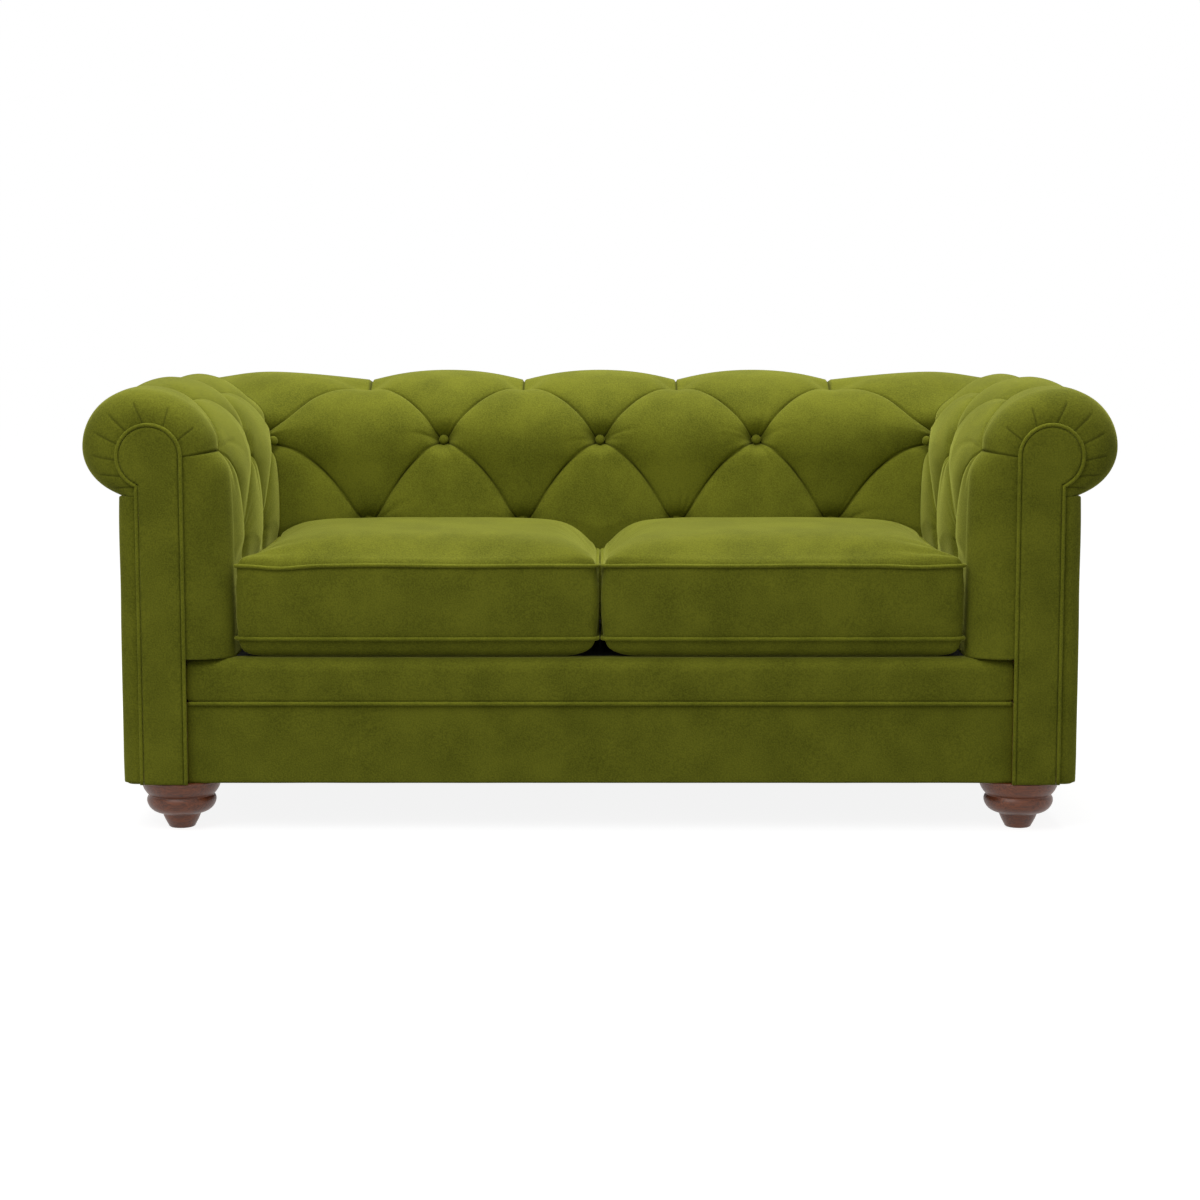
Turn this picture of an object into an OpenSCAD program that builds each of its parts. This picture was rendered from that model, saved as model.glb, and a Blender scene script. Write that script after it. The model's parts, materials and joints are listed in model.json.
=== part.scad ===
// Two-seat sofa with scrolled arms, a deep-buttoned inside and two loose seat cushions.
// Millimetres. X runs across the sofa, Y towards its back, Z up.
// The origin is on the floor under the middle of the sofa.

/* [Overall] */
// Width over the two arm rolls
sofa_w = 1804; // [1600:1:2200]
// Depth from the arm facings to the back of the back roll
sofa_d = 950; // [900:1:1050]
// Height of the roll under its tufting
roll_top = 777; // [740:1:820]

/* [Arms and back] */
// Radius of the arm and back rolls
roll_r = 102; // [90:1:110]
// Height of the lower half of a roll
roll_drop = 88; // [70:1:95]
// From an arm's inner face to the middle of its roll
arm_in = 159; // [145:1:190]
// From the inner face of the back to the middle of its roll
back_in = 202; // [185:1:230]
// Height at which the inner faces start to curve into the rolls
knee_h = 620; // [600:1:640]
// Lean of the inner face of the back, in degrees
back_lean = 12.4; // [8:0.1:16]
// From a roll's outermost line in to the outside panel
panel_inset = 67; // [55:1:75]
// Thickness of the outside panels
panel_t = 6; // [4:0.5:10]
// Radius of an outside arm panel's front edge
panel_edge_r = 24; // [15:1:27]
// Thickness of the stuffing on the inner faces
pad_t = 61; // [55:1:75]

/* [Buttoning] */
// Height of the lower button row
row_b_z = 503; // [480:1:520]
// Height of the upper button row
row_a_z = 663; // [650:1:680]
// Distance between buttons across the back
back_pitch = 310; // [280:1:320]
// Angle up the roll at which the diamonds turn into straight pleats
pleat_angle = 70; // [60:1:78]
// How far a pillow stands proud of the plain face
crest = 11; // [4:0.5:14]
// How far a crease lies under the plain face
crease = 9; // [4:0.5:14]
// Extra depth where a button is pulled in
button_pull = 34; // [20:1:40]
// Extra depth where a crease turns into a pleat
notch_pull = 14; // [0:1:20]
// Diameter of a covered button
button_d = 19; // [14:0.5:26]
// Height of a covered button's dome
button_dome = 6; // [4:0.5:9]

/* [Arm fronts] */
// Width of a facing's upright
facing_w = 70; // [60:1:84]
// Radius of a facing's round head
facing_r = 51.5; // [45:0.5:56]
// Height of the middle of the round head
facing_z = 661; // [650:1:670]
// From an arm's inner face to its facing
facing_set = 86; // [70:1:95]
// Thickness of a facing
facing_t = 8; // [7:0.5:14]
// Thickness of the scroll board behind a facing
board_t = 24; // [20:1:27]
// Diameter of the piping
pipe_d = 7; // [5:0.5:7]
// Depth of the rounded edge between an arm's front and its inner face
front_roll = 54; // [40:1:70]

/* [Base] */
// Height of the feet
foot_h = 87; // [70:1:120]
// Radius of a foot's top plate
foot_r = 71; // [60:1:76]
// Radius of a foot's ball
foot_ball_r = 61; // [52:0.5:61]
// Radius of a foot where it stands
foot_toe_r = 22; // [16:1:26]
// Distance of a foot's middle from the front or back panel
foot_inset = 55; // [50:1:80]
// From the side panel in to a foot's middle
foot_side = 92; // [90:1:110]
// Height of the base rails
rail_h = 141; // [125:1:150]
// Thickness of the base rails
rail_t = 32; // [22:1:36]
// Setback of the front rail's cover from the facings
front_set = 20; // [16:1:26]
// Height of the padded front border
border_h = 78; // [65:1:90]
// Rounding of the border's top edge
border_r = 20; // [8:1:24]
// Thickness of the dust cover
dust_t = 1; // [0.5:0.1:2]

/* [Inner frame] */
// Width of the front and back posts
post_w = 40; // [35:1:42]
// Depth of the front and back posts
post_d = 40; // [30:1:60]
// Height of the capping and tack rails
cap_h = 32; // [22:1:40]
// Depth of the two rails that carry the back roll
roll_rail_d = 65; // [50:1:80]
// Width of the centre seat rail
centre_w = 32; // [22:1:45]
// Height of the centre seat rail
centre_h = 100; // [70:1:110]
// Width of the stile in the middle of the back
stile_w = 40; // [30:1:60]
// Thickness of the stuffing between the top rails and a roll's outer edge
roll_floor = 20; // [12:1:30]
// How far the tack rails start below the seat
tack_drop = 18; // [12:1:24]
// Reach of a corner block along each rail
block_l = 100; // [90:1:130]
// Width of a corner block's ends
block_w = 40; // [30:1:60]
// Height of a corner block
block_h = 45; // [30:1:60]
// Thickness of the foot bolts
bolt_d = 10; // [8:0.5:12]
// Length of the foot bolts
bolt_l = 100; // [80:1:110]
// Depth of a bolt in its foot
bolt_in = 45; // [35:1:55]
// Wall of a tee nut's barrel
nut_wall = 2; // [1.5:0.5:3]
// Length of a tee nut's barrel
nut_l = 15; // [10:1:20]
// Diameter of a tee nut's flange
nut_d = 22; // [18:1:26]

/* [Seat] */
// Number of serpentine springs
spring_count = 7; // [4:1:9]
// Thickness of the spring wire
spring_wire = 3.6; // [3:0.1:4]
// Width of a serpentine spring
spring_w = 48; // [40:1:60]
// Height of the springs over the front rail
spring_rise = 8; // [6:1:12]
// Width of the clips that hold the springs
clip_w = 20; // [12:1:30]
// Number of bends along a spring
spring_bends = 18; // [12:2:24]
// Number of webbing straps behind the inside back
strap_count = 8; // [4:1:10]
// Width of a webbing strap
strap_w = 50; // [30:1:60]
// Thickness of a webbing strap
strap_t = 1.5; // [1:0.1:2]

/* [Cushions] */
// Gap between the back and the lower piping on a cushion's rear
rear_room = 19.6; // [12:0.1:60]
// Height of a cushion's side band between its two pipings
boxing_h = 129; // [100:1:150]
// Height from the seat to the lower piping
belly_h = 34; // [20:1:40]
// Rise of the crown above the upper piping
crown_h = 54; // [30:1:60]
// How far a cushion's front corner pokes out past its side
ear = 11; // [0:1:11]
// Gap beside a cushion when it is pushed against the arm's pillows
side_room = 1.5; // [1:0.5:4]
// Thickness of the wadding and cover round the foam core
wrap_t = 28; // [24:1:40]
// Length of the zip on a cushion's rear
zip_l = 420; // [300:1:480]
// Width of the zip tape
zip_w = 26; // [20:1:32]
// Length of the zip slider
slider_l = 14; // [10:1:20]
// Length of the zip slider's pull
pull_l = 24; // [16:1:30]

/* [Hidden] */

velvet = "#5e6619";
velvet_dark = "#545916";
timber = "#c9a673";
plywood = "#d2b384";
walnut = "#5d3b25";
steel = "#9da1a3";
cloth_black = "#26262a";
foam = "#e8dfae";
webbing_grey = "#b9b29c";

// Clearance between a soft piece and what carries it
seat_gap = 0.3;
// Clearance round a bolt
bolt_fit = 0.2;

// Planes across the width, measured from the middle
arm_mid = sofa_w / 2 - roll_r;
arm_face = arm_mid - arm_in;
side_x = sofa_w / 2 - panel_inset;
side_in = side_x - panel_t;
rail_in = side_in - rail_t;
post_in = rail_in - post_w;
arm_back = arm_face + pad_t;
cap_in = arm_back + cap_h;
facing_in = arm_face + facing_set;
facing_out = facing_in + facing_w;
facing_x = facing_in + facing_r;
front_half = facing_in - pipe_d - seat_gap;
foot_x = side_x - foot_side;

// Planes along the depth
front_y = -sofa_d / 2;
back_mid = sofa_d / 2 - roll_r;
corner_y = back_mid - back_in;
rear_y = sofa_d / 2 - panel_inset;
rear_in = rear_y - panel_t;
rear_rail_y = rear_in - rail_t;
board_y = front_y + facing_t;
frame_y = board_y + board_t;
cover_y = front_y + front_set;
rail_y = frame_y + rail_t;
front_foot_y = cover_y + foot_inset;
rear_foot_y = rear_y - foot_inset - front_set;

// Heights
frame_z = foot_h + dust_t;
rail_z = frame_z + rail_h;
seat_z = rail_z + border_h;
pad_z = seat_z + seat_gap;
roll_z = roll_top - roll_r;
end_angle = acos((roll_r - panel_inset) / roll_r);
end_z = roll_z - roll_drop * sin(end_angle);
ceiling_z = end_z - roll_floor;
cap_top = ceiling_z - seat_gap;
cap_z = cap_top - cap_h;
wire_z = rail_z + spring_rise;
deck_z = wire_z + spring_wire / 2 + seat_gap;
tack_z = seat_z - tack_drop;
block_top = frame_z + block_h;
centre_top = frame_z + centre_h;

function lerp(a, b, t) = a + (b - a) * t;

// The plain inner face of the back at a height, and the plane behind its stuffing
function back_face(z) = corner_y - max(0, knee_h - z) * tan(back_lean);
function back_wall(z) = back_face(z) + pad_t;

// A wall's cross-section is a list of rows from the seat, over the roll, to the outside panel.
// Each row is [share of the way to the roll's middle, reach past that middle, height,
// outward direction across, outward direction up, place in the diamond pattern, share of tufting].
low_cells = 4;
diamond_cells = 5;
over_cells = 2;
outer_cells = 4;
under_cells = 5;
// The tufting fades out over this height below the lower buttons
fade_h = 60;
a_angle = asin((row_a_z - knee_h) / (roll_top - knee_h));
row_pitch = row_a_z - row_b_z;
function face_row(z, q, fade) =
    let (t = z > knee_h ? asin((z - knee_h) / (roll_top - knee_h)) : 0)
    [1 - cos(t), 0, z, -cos(t), sin(t), q, fade];
function arc_row(t, q) = [1 - cos(t), 0, knee_h + (roll_top - knee_h) * sin(t), -cos(t), sin(t), q, 1];
function roll_row(t) =
    [1, roll_r * cos(t), roll_z + (t > 0 ? roll_r : roll_drop) * sin(t), cos(t), sin(t), 2, max(0, sin(t))];
rows = concat(
    [for (k = [0:low_cells - 1])
        let (z = lerp(pad_z, row_b_z, k / low_cells))
        face_row(z, -1 - (row_b_z - z) / row_pitch, max(0, 1 - (row_b_z - z) / fade_h))],
    [for (k = [0:diamond_cells - 1])
        let (q = k / diamond_cells)
        face_row(lerp(row_b_z, row_a_z, q), q - 1, 1)],
    [for (k = [0:diamond_cells - 1])
        let (q = k / diamond_cells)
        arc_row(lerp(a_angle, pleat_angle, q), q)],
    [for (k = [0:over_cells - 1]) arc_row(lerp(pleat_angle, 90, k / over_cells), 1 + k / 5)],
    [for (k = [0:outer_cells]) roll_row(90 * (1 - k / outer_cells))],
    [for (k = [1:under_cells]) roll_row(-end_angle * k / under_cells)]
);
last_row = len(rows) - 1;
wall_row = len([for (r = rows) if (r[2] <= ceiling_z) 1]) - 1;

// Tufting: p counts buttons along the wall, q counts rows, from row A at 0 down to row B at -1.
// The pillow before the first button has no button above it and swells less, up to p = first.
// A lower power makes a fuller pillow.
pillow_power = 0.45;
pleat_power = 0.9;
function pillow(p, q) =
    abs(q) <= 1 ? pow(abs(sin(180 * (p + q / 2)) * sin(180 * (p - q / 2))), pillow_power)
    : pow(abs(cos(180 * p)), pleat_power);
function dip(p, q, pitch, reach) = exp(-(pow(p * pitch, 2) + pow(q * row_pitch, 2)) / pow(reach, 2));
// How far round a button the pull reaches, and how much further at a pleat
pull_reach = 22;
notch_reach = 1.5 * pull_reach;
function tuft(p, r, first) =
    let (q = r[5], c = pillow(p, q), a = p - round(p), b = p - floor(p) - 0.5,
        lift = first > 0 ? min(1, abs(p) / first) : 1)
    r[6] * (crest * c * lift - crease * (1 - c))
    - (abs(p) < first / 2 ? notch_pull / 2 : button_pull) * dip(a, q, back_pitch, pull_reach)
    - button_pull * dip(b, q + 1, back_pitch, pull_reach)
    - notch_pull * dip(b, q - 1, back_pitch, notch_reach);

function across(r, h) = arm_face + r[0] * arm_in + r[1] + r[3] * h;
function along(r, h) = back_face(r[2]) + r[0] * back_in + r[1] + r[3] * h;
function height(r, h) = r[2] + r[4] * h;

lip_y = front_y + max(facing_t, pipe_d + 1);
band_y = lip_y + front_roll;
arm_pitch = (corner_y - band_y) / 2;
corner_p = 2;
straight_p = 1.5;

// A point of the inside back, p buttons from its middle
function back_point(p, r) =
    let (h = tuft(p, r, 0), m = across(r, tuft(corner_p, r, 0)), s = abs(p), turn = p < 0 ? -1 : 1,
        pitch = back_pitch * min(1, m / arm_face), t = (s - straight_p) / (corner_p - straight_p),
        x = s <= straight_p ? s * pitch : lerp(straight_p * pitch, m, t))
    [turn * x, along(r, h), height(r, h)];

// The arm's pad stops this far short of the back's pad in the mitre
mitre_gap = 1.5 * seat_gap;

// A point of the left arm's inside, p buttons behind the front band
function arm_point(p, r) =
    let (h = tuft(p, r, 0.5), m = along(r, tuft(corner_p, r, 0)),
        t = (p - straight_p) / (corner_p - straight_p),
        pitch = arm_pitch * min(1, (m - band_y) / (corner_y - band_y)),
        y = p <= straight_p ? band_y + p * pitch : lerp(band_y + straight_p * pitch, m - mitre_gap, t))
    [-across(r, h), y, height(r, h)];

// The arm's front edge, where its cover turns in round the facing, off millimetres outside that facing
function lip_point(i, off) =
    let (r = rows[i], t = r[3] > 0 || r[1] > 0 ? 0 : acos(-r[3]), rad = facing_r + off,
        neck = acos((facing_out + off - facing_x) / rad), out = atan2(r[4], r[3]))
    i == last_row ? [facing_out + off, end_z]
    : r[5] < 0 ? [facing_in - off, min(r[2], facing_z)]
    : r[3] < 0 ? let (s = 90 * (t - a_angle) / (90 - a_angle))
        [facing_x - rad * cos(s), facing_z + rad * sin(s)]
    : out >= 0 ? [facing_x + rad * cos(out), facing_z + rad * sin(out)]
    : let (s = neck * (i - last_row + under_cells) / (under_cells - 1))
        [facing_x + rad * cos(s), facing_z - rad * sin(s)];

// The space for the frame inside a wall, as [across, along, height]
function cavity(i) =
    let (z = rows[i][2], f = (i - wall_row - 1) / (last_row - wall_row - 2))
    i <= wall_row ? [arm_back, back_wall(z), z]
    : i == last_row ? [side_in - panel_t, rear_in - panel_t, end_z]
    : [lerp(arm_back, side_in - panel_t, f), lerp(back_wall(ceiling_z), rear_in - panel_t, f), ceiling_z];

// A closed wall from a grid of outer columns and a few inner columns, each with one point a row.
// place gives each outer column's p, so that the creases run along the cells' diagonals.
module lofted_wall(outer, inner, place) {
    n = last_row + 1;
    cols = len(outer);
    ins = len(inner);
    base = cols * n;
    function o(j, i) = j * n + i;
    function e(j, i) = base + j * n + i;
    skin = [for (j = [0:cols - 2], i = [0:last_row - 1])
        let (p = (place[j] + place[j + 1]) / 2, q = (rows[i][5] + rows[i + 1][5]) / 2,
            m = p + q / 2, w = p - q / 2, rise = abs(w - round(w)) < abs(m - round(m)))
        each rise ? [[o(j, i), o(j + 1, i), o(j + 1, i + 1)], [o(j, i), o(j + 1, i + 1), o(j, i + 1)]]
            : [[o(j, i), o(j + 1, i), o(j, i + 1)], [o(j + 1, i), o(j + 1, i + 1), o(j, i + 1)]]];
    lining = [for (j = [0:ins - 2], i = [0:last_row - 1])
        each [[e(j, i), e(j, i + 1), e(j + 1, i + 1)], [e(j, i), e(j + 1, i + 1), e(j + 1, i)]]];
    start = [for (i = [0:last_row - 1])
        each [[o(0, i), o(0, i + 1), e(0, i)], [o(0, i + 1), e(0, i + 1), e(0, i)]]];
    finish = [for (i = [0:last_row - 1])
        each [[o(cols - 1, i), e(ins - 1, i), o(cols - 1, i + 1)],
            [o(cols - 1, i + 1), e(ins - 1, i), e(ins - 1, i + 1)]]];
    // The two long edges are flat fans round the second last inner column
    hub = ins - 2;
    function fan(i) = concat(
        [for (j = [0:cols - 2]) [o(j + 1, i), o(j, i), e(hub, i)]],
        [[e(hub, i), e(hub + 1, i), o(cols - 1, i)]],
        [for (j = [0:1:hub - 1]) [o(0, i), e(j, i), e(j + 1, i)]]);
    top = [for (f = fan(last_row)) [f[2], f[1], f[0]]];
    polyhedron(points = [for (c = outer) each c, for (c = inner) each c],
        faces = concat(skin, lining, start, finish, fan(0), top), convexity = 10);
}

module inside_back_pad() {
    steps = 40;
    place = [for (k = [0:steps]) corner_p * (2 * k / steps - 1)];
    outer = [for (p = place) [for (r = rows) back_point(p, r)]];
    inner = [for (side = [-1, 1]) [for (i = [0:last_row]) let (c = cavity(i)) [side * c[0], c[1], c[2]]]];
    color(velvet) lofted_wall(outer, inner, place);
}

module arm_pad() {
    steps = 20;
    turns = 5;
    // The flat facets round the head dip in by this much between their corners
    facet_room = 1.2;
    lip_off = pipe_d + seat_gap + facet_room;
    edge = [for (k = [0:turns - 1]) 1 - cos(90 * k / turns)];
    body = [for (k = [0:steps]) corner_p * k / steps];
    place = concat([for (s = edge) -1 + s], body);
    outer = concat(
        [for (s = edge) [for (i = [0:last_row])
            let (f = arm_point(0, rows[i]), l = lip_point(i, lip_off), w = sqrt(1 - pow(1 - s, 2)),
                y = lip_y + front_roll * s)
            [lerp(-l[0], f[0], w), y, lerp(l[1], f[2], w)]]],
        [for (p = body) [for (r = rows) arm_point(p, r)]]
    );
    function lining(y) =
        [for (i = [0:last_row]) let (l = lip_point(i, seat_gap + facet_room)) [-l[0], y, l[1]]];
    inner = [
        lining(lip_y),
        lining(frame_y + seat_gap),
        [for (i = [0:last_row]) let (c = cavity(i)) [-c[0], frame_y + 2 * seat_gap, c[2]]],
        [for (i = [0:last_row]) let (c = cavity(i)) [-c[0], c[1] - mitre_gap, c[2]]]
    ];
    color(velvet) lofted_wall(outer, inner, place);
}

module left_arm_pad() { arm_pad(); }
module right_arm_pad() { mirror([1, 0, 0]) arm_pad(); }

// A box between two corners
module block(low, high) { translate(low) cube(high - low); }
module both_sides() {
    children();
    mirror([1, 0, 0]) children();
}

// A facing or scroll board: an upright with a round head that looks outwards
module scroll(y, thick, foot_z) {
    translate([0, y + thick, 0]) rotate([90, 0, 0]) linear_extrude(thick) union() {
        translate([-facing_out, foot_z]) square([facing_w, facing_z - foot_z]);
        translate([-facing_x, facing_z]) circle(facing_r, $fn = 96);
    }
}
module scroll_board() { color(plywood) scroll(board_y, board_t, frame_z); }
module left_scroll_board() { scroll_board(); }
module right_scroll_board() { mirror([1, 0, 0]) scroll_board(); }
module left_arm_facing() { color(velvet) scroll(front_y, facing_t, foot_h); }
module right_arm_facing() { mirror([1, 0, 0]) left_arm_facing(); }

// The piping runs up the inside of a facing, round its head and down the outside
module facing_piping() {
    r = pipe_d / 2;
    ring = facing_r + r;
    y = front_y + r + seat_gap;
    neck = acos((facing_out + r - facing_x) / ring);
    neck_z = facing_z - ring * sin(neck);
    color(velvet_dark) {
        translate([-facing_in + r, y, foot_h]) cylinder(r = r, h = facing_z - foot_h, $fn = 24);
        translate([-facing_out - r, y, foot_h]) cylinder(r = r, h = neck_z - foot_h, $fn = 24);
        translate([-facing_x, y, facing_z]) rotate([90, 0, 0]) rotate_extrude(angle = 180 + neck, $fn = 96)
            translate([ring, 0]) circle(r, $fn = 24);
    }
}
module left_facing_piping() { facing_piping(); }
module right_facing_piping() { mirror([1, 0, 0]) facing_piping(); }

// Outside arm panel: a flat sheet whose front edge turns in to the facing
module outside_arm_panel() {
    // The edge's radius is limited by the scroll board that it wraps
    edge_r = min(panel_edge_r, board_t);
    inner_r = edge_r - panel_t;
    turn_x = side_x - edge_r;
    turn_y = board_y + edge_r;
    end_x = facing_out + pipe_d + seat_gap;
    steps = 12;
    function bend(r) =
        [for (k = [0:steps]) [-turn_x - r * cos(90 * k / steps), turn_y - r * sin(90 * k / steps)]];
    outline = concat([[-side_x, rear_y]], bend(edge_r), [[-end_x, turn_y - edge_r]],
        [[-end_x, turn_y - inner_r]], [for (k = [steps:-1:0]) bend(inner_r)[k]], [[-side_in, rear_y]]);
    color(velvet) translate([0, 0, foot_h]) linear_extrude(end_z - seat_gap - foot_h) polygon(outline);
}
module left_outside_arm_panel() { outside_arm_panel(); }
module right_outside_arm_panel() { mirror([1, 0, 0]) outside_arm_panel(); }
module outside_back_panel() {
    color(velvet) block([-side_in, rear_in, foot_h], [side_in, rear_y, end_z - seat_gap]);
}

module front_border() {
    steps = 10;
    turn = [for (k = [0:steps]) border_r * [1 - cos(90 * k / steps), sin(90 * k / steps) - 1]];
    outline = concat([[rail_y, rail_z], [cover_y, rail_z]],
        [for (t = turn) [cover_y + t[0], seat_z + t[1]]], [[rail_y, seat_z]]);
    color(velvet) translate([-front_half, 0, 0]) rotate([90, 0, 90])
        linear_extrude(2 * front_half) polygon(outline);
}
module front_rail_cover() {
    color(velvet) block([-front_half, cover_y, foot_h], [front_half, frame_y, rail_z]);
}
module border_welt() {
    color(velvet_dark) translate([-front_half, cover_y - pipe_d / 2 - seat_gap, rail_z]) rotate([0, 90, 0])
        cylinder(d = pipe_d, h = 2 * front_half, $fn = 24);
}
module dust_cover() {
    color(cloth_black) difference() {
        block([-side_in, frame_y, foot_h], [side_in, rear_in, frame_z]);
        at_feet() translate([0, 0, foot_h - 1]) cylinder(d = bolt_d + 2 * bolt_fit, h = dust_t + 2, $fn = 32);
    }
}

// Timber frame
module front_rail() { color(timber) block([-rail_in, frame_y, frame_z], [rail_in, rail_y, rail_z]); }
module rear_rail() { color(timber) block([-side_in, rear_rail_y, frame_z], [side_in, rear_in, rail_z]); }
module side_rail() { color(timber) block([-side_in, frame_y, frame_z], [-rail_in, rear_rail_y, rail_z]); }
module left_side_rail() { side_rail(); }
module right_side_rail() { mirror([1, 0, 0]) side_rail(); }
module centre_seat_rail() {
    color(timber) block([-centre_w / 2, rail_y, frame_z], [centre_w / 2, rear_rail_y, centre_top]);
}
strap_room = strap_t + 2 * seat_gap;
tack_y = back_wall(tack_z + cap_h) + strap_room;
module back_seat_rail() {
    color(timber) block([-rail_in, tack_y, centre_top], [rail_in, tack_y + rail_t, deck_z]);
}
module corner_block(y, dir) {
    plan = [[0, 0], [block_l, 0], [block_l, block_w], [block_w, block_l], [0, block_l]];
    color(timber) difference() {
        translate([-rail_in, y, frame_z]) mirror([0, dir < 0 ? 1 : 0, 0])
            linear_extrude(block_h) polygon(plan);
        translate([-foot_x, dir > 0 ? front_foot_y : rear_foot_y, frame_z - 1])
            cylinder(d = bolt_d + 2 * nut_wall + 2 * bolt_fit, h = block_h + 2, $fn = 32);
    }
}
module corner_blocks() {
    both_sides() {
        corner_block(rail_y, 1);
        corner_block(rear_rail_y, -1);
    }
}
module post(y) { color(timber) block([-rail_in, y, block_top], [-post_in, y + post_d, cap_z]); }
module front_post() { post(rail_y); }
module back_post() { post(rear_rail_y - post_d); }
module left_front_post() { front_post(); }
module right_front_post() { mirror([1, 0, 0]) front_post(); }
module left_back_post() { back_post(); }
module right_back_post() { mirror([1, 0, 0]) back_post(); }
module arm_top_rail() { color(timber) block([-side_in, frame_y, cap_z], [-cap_in, rear_in, cap_top]); }
module left_arm_top_rail() { arm_top_rail(); }
module right_arm_top_rail() { mirror([1, 0, 0]) arm_top_rail(); }
top_rail_y = back_wall(cap_top) + strap_room;
module back_top_rail() {
    color(timber) block([-cap_in, top_rail_y, cap_z], [cap_in, top_rail_y + roll_rail_d, cap_top]);
}
module back_roll_rail() {
    color(timber) block([-cap_in, rear_in - roll_rail_d, cap_z], [cap_in, rear_in, cap_top]);
}
module arm_tack_rails() {
    both_sides() color(timber)
        block([-post_in, rail_y, tack_z], [-arm_back - seat_gap, rear_rail_y, tack_z + cap_h]);
}
module back_tack_rail() {
    reach = arm_back + seat_gap;
    color(timber) block([-reach, tack_y, tack_z], [reach, tack_y + rail_t, tack_z + cap_h]);
}
module back_stile() {
    color(timber) block([-stile_w / 2, top_rail_y + roll_rail_d - rail_t, centre_top],
        [stile_w / 2, top_rail_y + roll_rail_d, cap_z]);
}

// Serpentine springs: flat zigzags of wire from the front rail to the back seat rail
spring_pitch = 2 * front_half / (spring_count + 1);
clip_t = 2.6;
clip_h = 10;
spring_y0 = rail_y + clip_t + spring_wire / 2 + seat_gap;
spring_y1 = tack_y - clip_t - spring_wire / 2 - seat_gap;
module seat_springs() {
    per_bend = 6;
    steps = spring_bends * per_bend;
    swing = (spring_w - spring_wire) / 2;
    function mid(k) = [swing * sin(180 * k / per_bend), lerp(spring_y0, spring_y1, k / steps)];
    function edge(k, s) =
        let (d = mid(min(steps, k + 1)) - mid(max(0, k - 1)), l = norm(d))
        mid(k) + s * spring_wire / 2 * [d[1], -d[0]] / l;
    outline = concat([for (k = [0:steps]) edge(k, 1)], [for (k = [steps:-1:0]) edge(k, -1)]);
    color(steel) for (s = [1:spring_count])
        translate([-front_half + s * spring_pitch, 0, wire_z - spring_wire / 2]) linear_extrude(spring_wire)
            polygon(outline);
}
module spring_clips() {
    color(steel) for (s = [1:spring_count]) translate([-front_half + s * spring_pitch, 0, wire_z - clip_h])
        for (y = [rail_y, tack_y - clip_t]) translate([-clip_w / 2, y, 0])
            cube([clip_w, clip_t, clip_h + spring_wire / 2]);
}
module seat_deck() {
    deck_rear = back_wall(deck_z) - 3 * seat_gap;
    color(cloth_black)
        block([-arm_back, rail_y + seat_gap, deck_z + seat_gap], [arm_back, deck_rear, seat_z]);
}
module back_webbing() {
    // Each strap lies along the stuffing, with a bend where the back turns upright
    top = cap_top - seat_gap;
    heights = concat([tack_z], knee_h < top ? [knee_h] : [], [top]);
    face = [for (z = heights) [back_wall(z) + seat_gap, z]];
    outline = concat(face, [for (k = [len(face) - 1:-1:0]) face[k] + [strap_t, 0]]);
    step = 2 * (arm_face - strap_w) / (strap_count - 1);
    color(webbing_grey) for (s = [0:strap_count - 1])
        translate([-arm_face + strap_w / 2 + s * step, 0, 0]) rotate([90, 0, 90])
            linear_extrude(strap_w) polygon(outline);
}

// Covered buttons, each on a short shank in its pit, looking out along its own direction
module button() {
    shank = 11;
    shank_r = 2;
    rim_r = 1.5;
    color(velvet_dark) rotate([90, 0, 0]) rotate_extrude($fn = 48) polygon(concat(
        [[0, 0], [shank_r, 0], [shank_r, shank - rim_r], [button_d / 2 - rim_r, shank - rim_r]],
        [for (k = [0:6]) [button_d / 2 * cos(15 * k), shank + button_dome * sin(15 * k)]]));
}
b_row = rows[low_cells];
a_row = rows[low_cells + diamond_cells];
a_tilt = acos(-a_row[3]);
// The pit closes in round a shank, so the shank ends this far above its bottom,
// and further up in the narrow pits of the arms' upper buttons
pit_room = 3.5;
tight_room = 5.4;
module back_button(p, r, tilt) {
    translate(back_point(p, r) + pit_room * [0, -cos(tilt), sin(tilt)]) rotate([-tilt, 0, 0]) button();
}
module back_buttons() {
    for (p = [-1, 0, 1]) back_button(p, a_row, a_tilt);
    for (p = [-1.5, -0.5, 0.5, 1.5]) back_button(p, b_row, back_lean);
    // In a corner the two faces close in, so the button's rim seats further out
    corner_out = 1.22 * (button_pull + crease);
    for (turn = [-1, 1]) translate(back_point(turn * corner_p, a_row) - corner_out * [turn, 1, 0] / sqrt(2))
        rotate([0, 0, -turn * 45]) rotate([-a_tilt, 0, 0]) button();
}
module arm_buttons() {
    for (m = [[1, a_row, a_tilt, tight_room], [0.5, b_row, 0, pit_room], [1.5, b_row, 0, pit_room]])
        translate(arm_point(m[0], m[1]) + m[3] * [cos(m[2]), 0, sin(m[2])])
            rotate([0, -m[2], 90]) button();
}
module left_arm_buttons() { arm_buttons(); }
module right_arm_buttons() { mirror([1, 0, 0]) arm_buttons(); }

// Seat cushions. u runs from the arm to the middle of the sofa and v from front to rear, both -1 to 1.
cushion_y0 = front_y + front_set;
cushion_gap = 0.4;
edge_in = pipe_d + cushion_gap;
cushion_side = arm_face - crest - side_room;
lower_z = pad_z + belly_h;
upper_z = lower_z + boxing_h;
zip_z = (lower_z + upper_z) / 2;
cushion_y1 = back_face(lower_z) - rear_room;
u_list = [-1, -0.96, -0.88, -0.7, -0.4, 0, 0.4, 0.7, 0.88, 0.96, 1];
v_list = [-1, -0.98, -0.95, -0.91, -0.82, -0.6, -0.3, 0, 0.3, 0.6, 0.82, 0.94, 1];
nu = len(u_list);
nv = len(v_list);
// How far the sides pull in between the corners, at the arm, in the middle and at the front
arm_draw = 5;
mid_draw = 2;
front_draw = 5;
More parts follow.
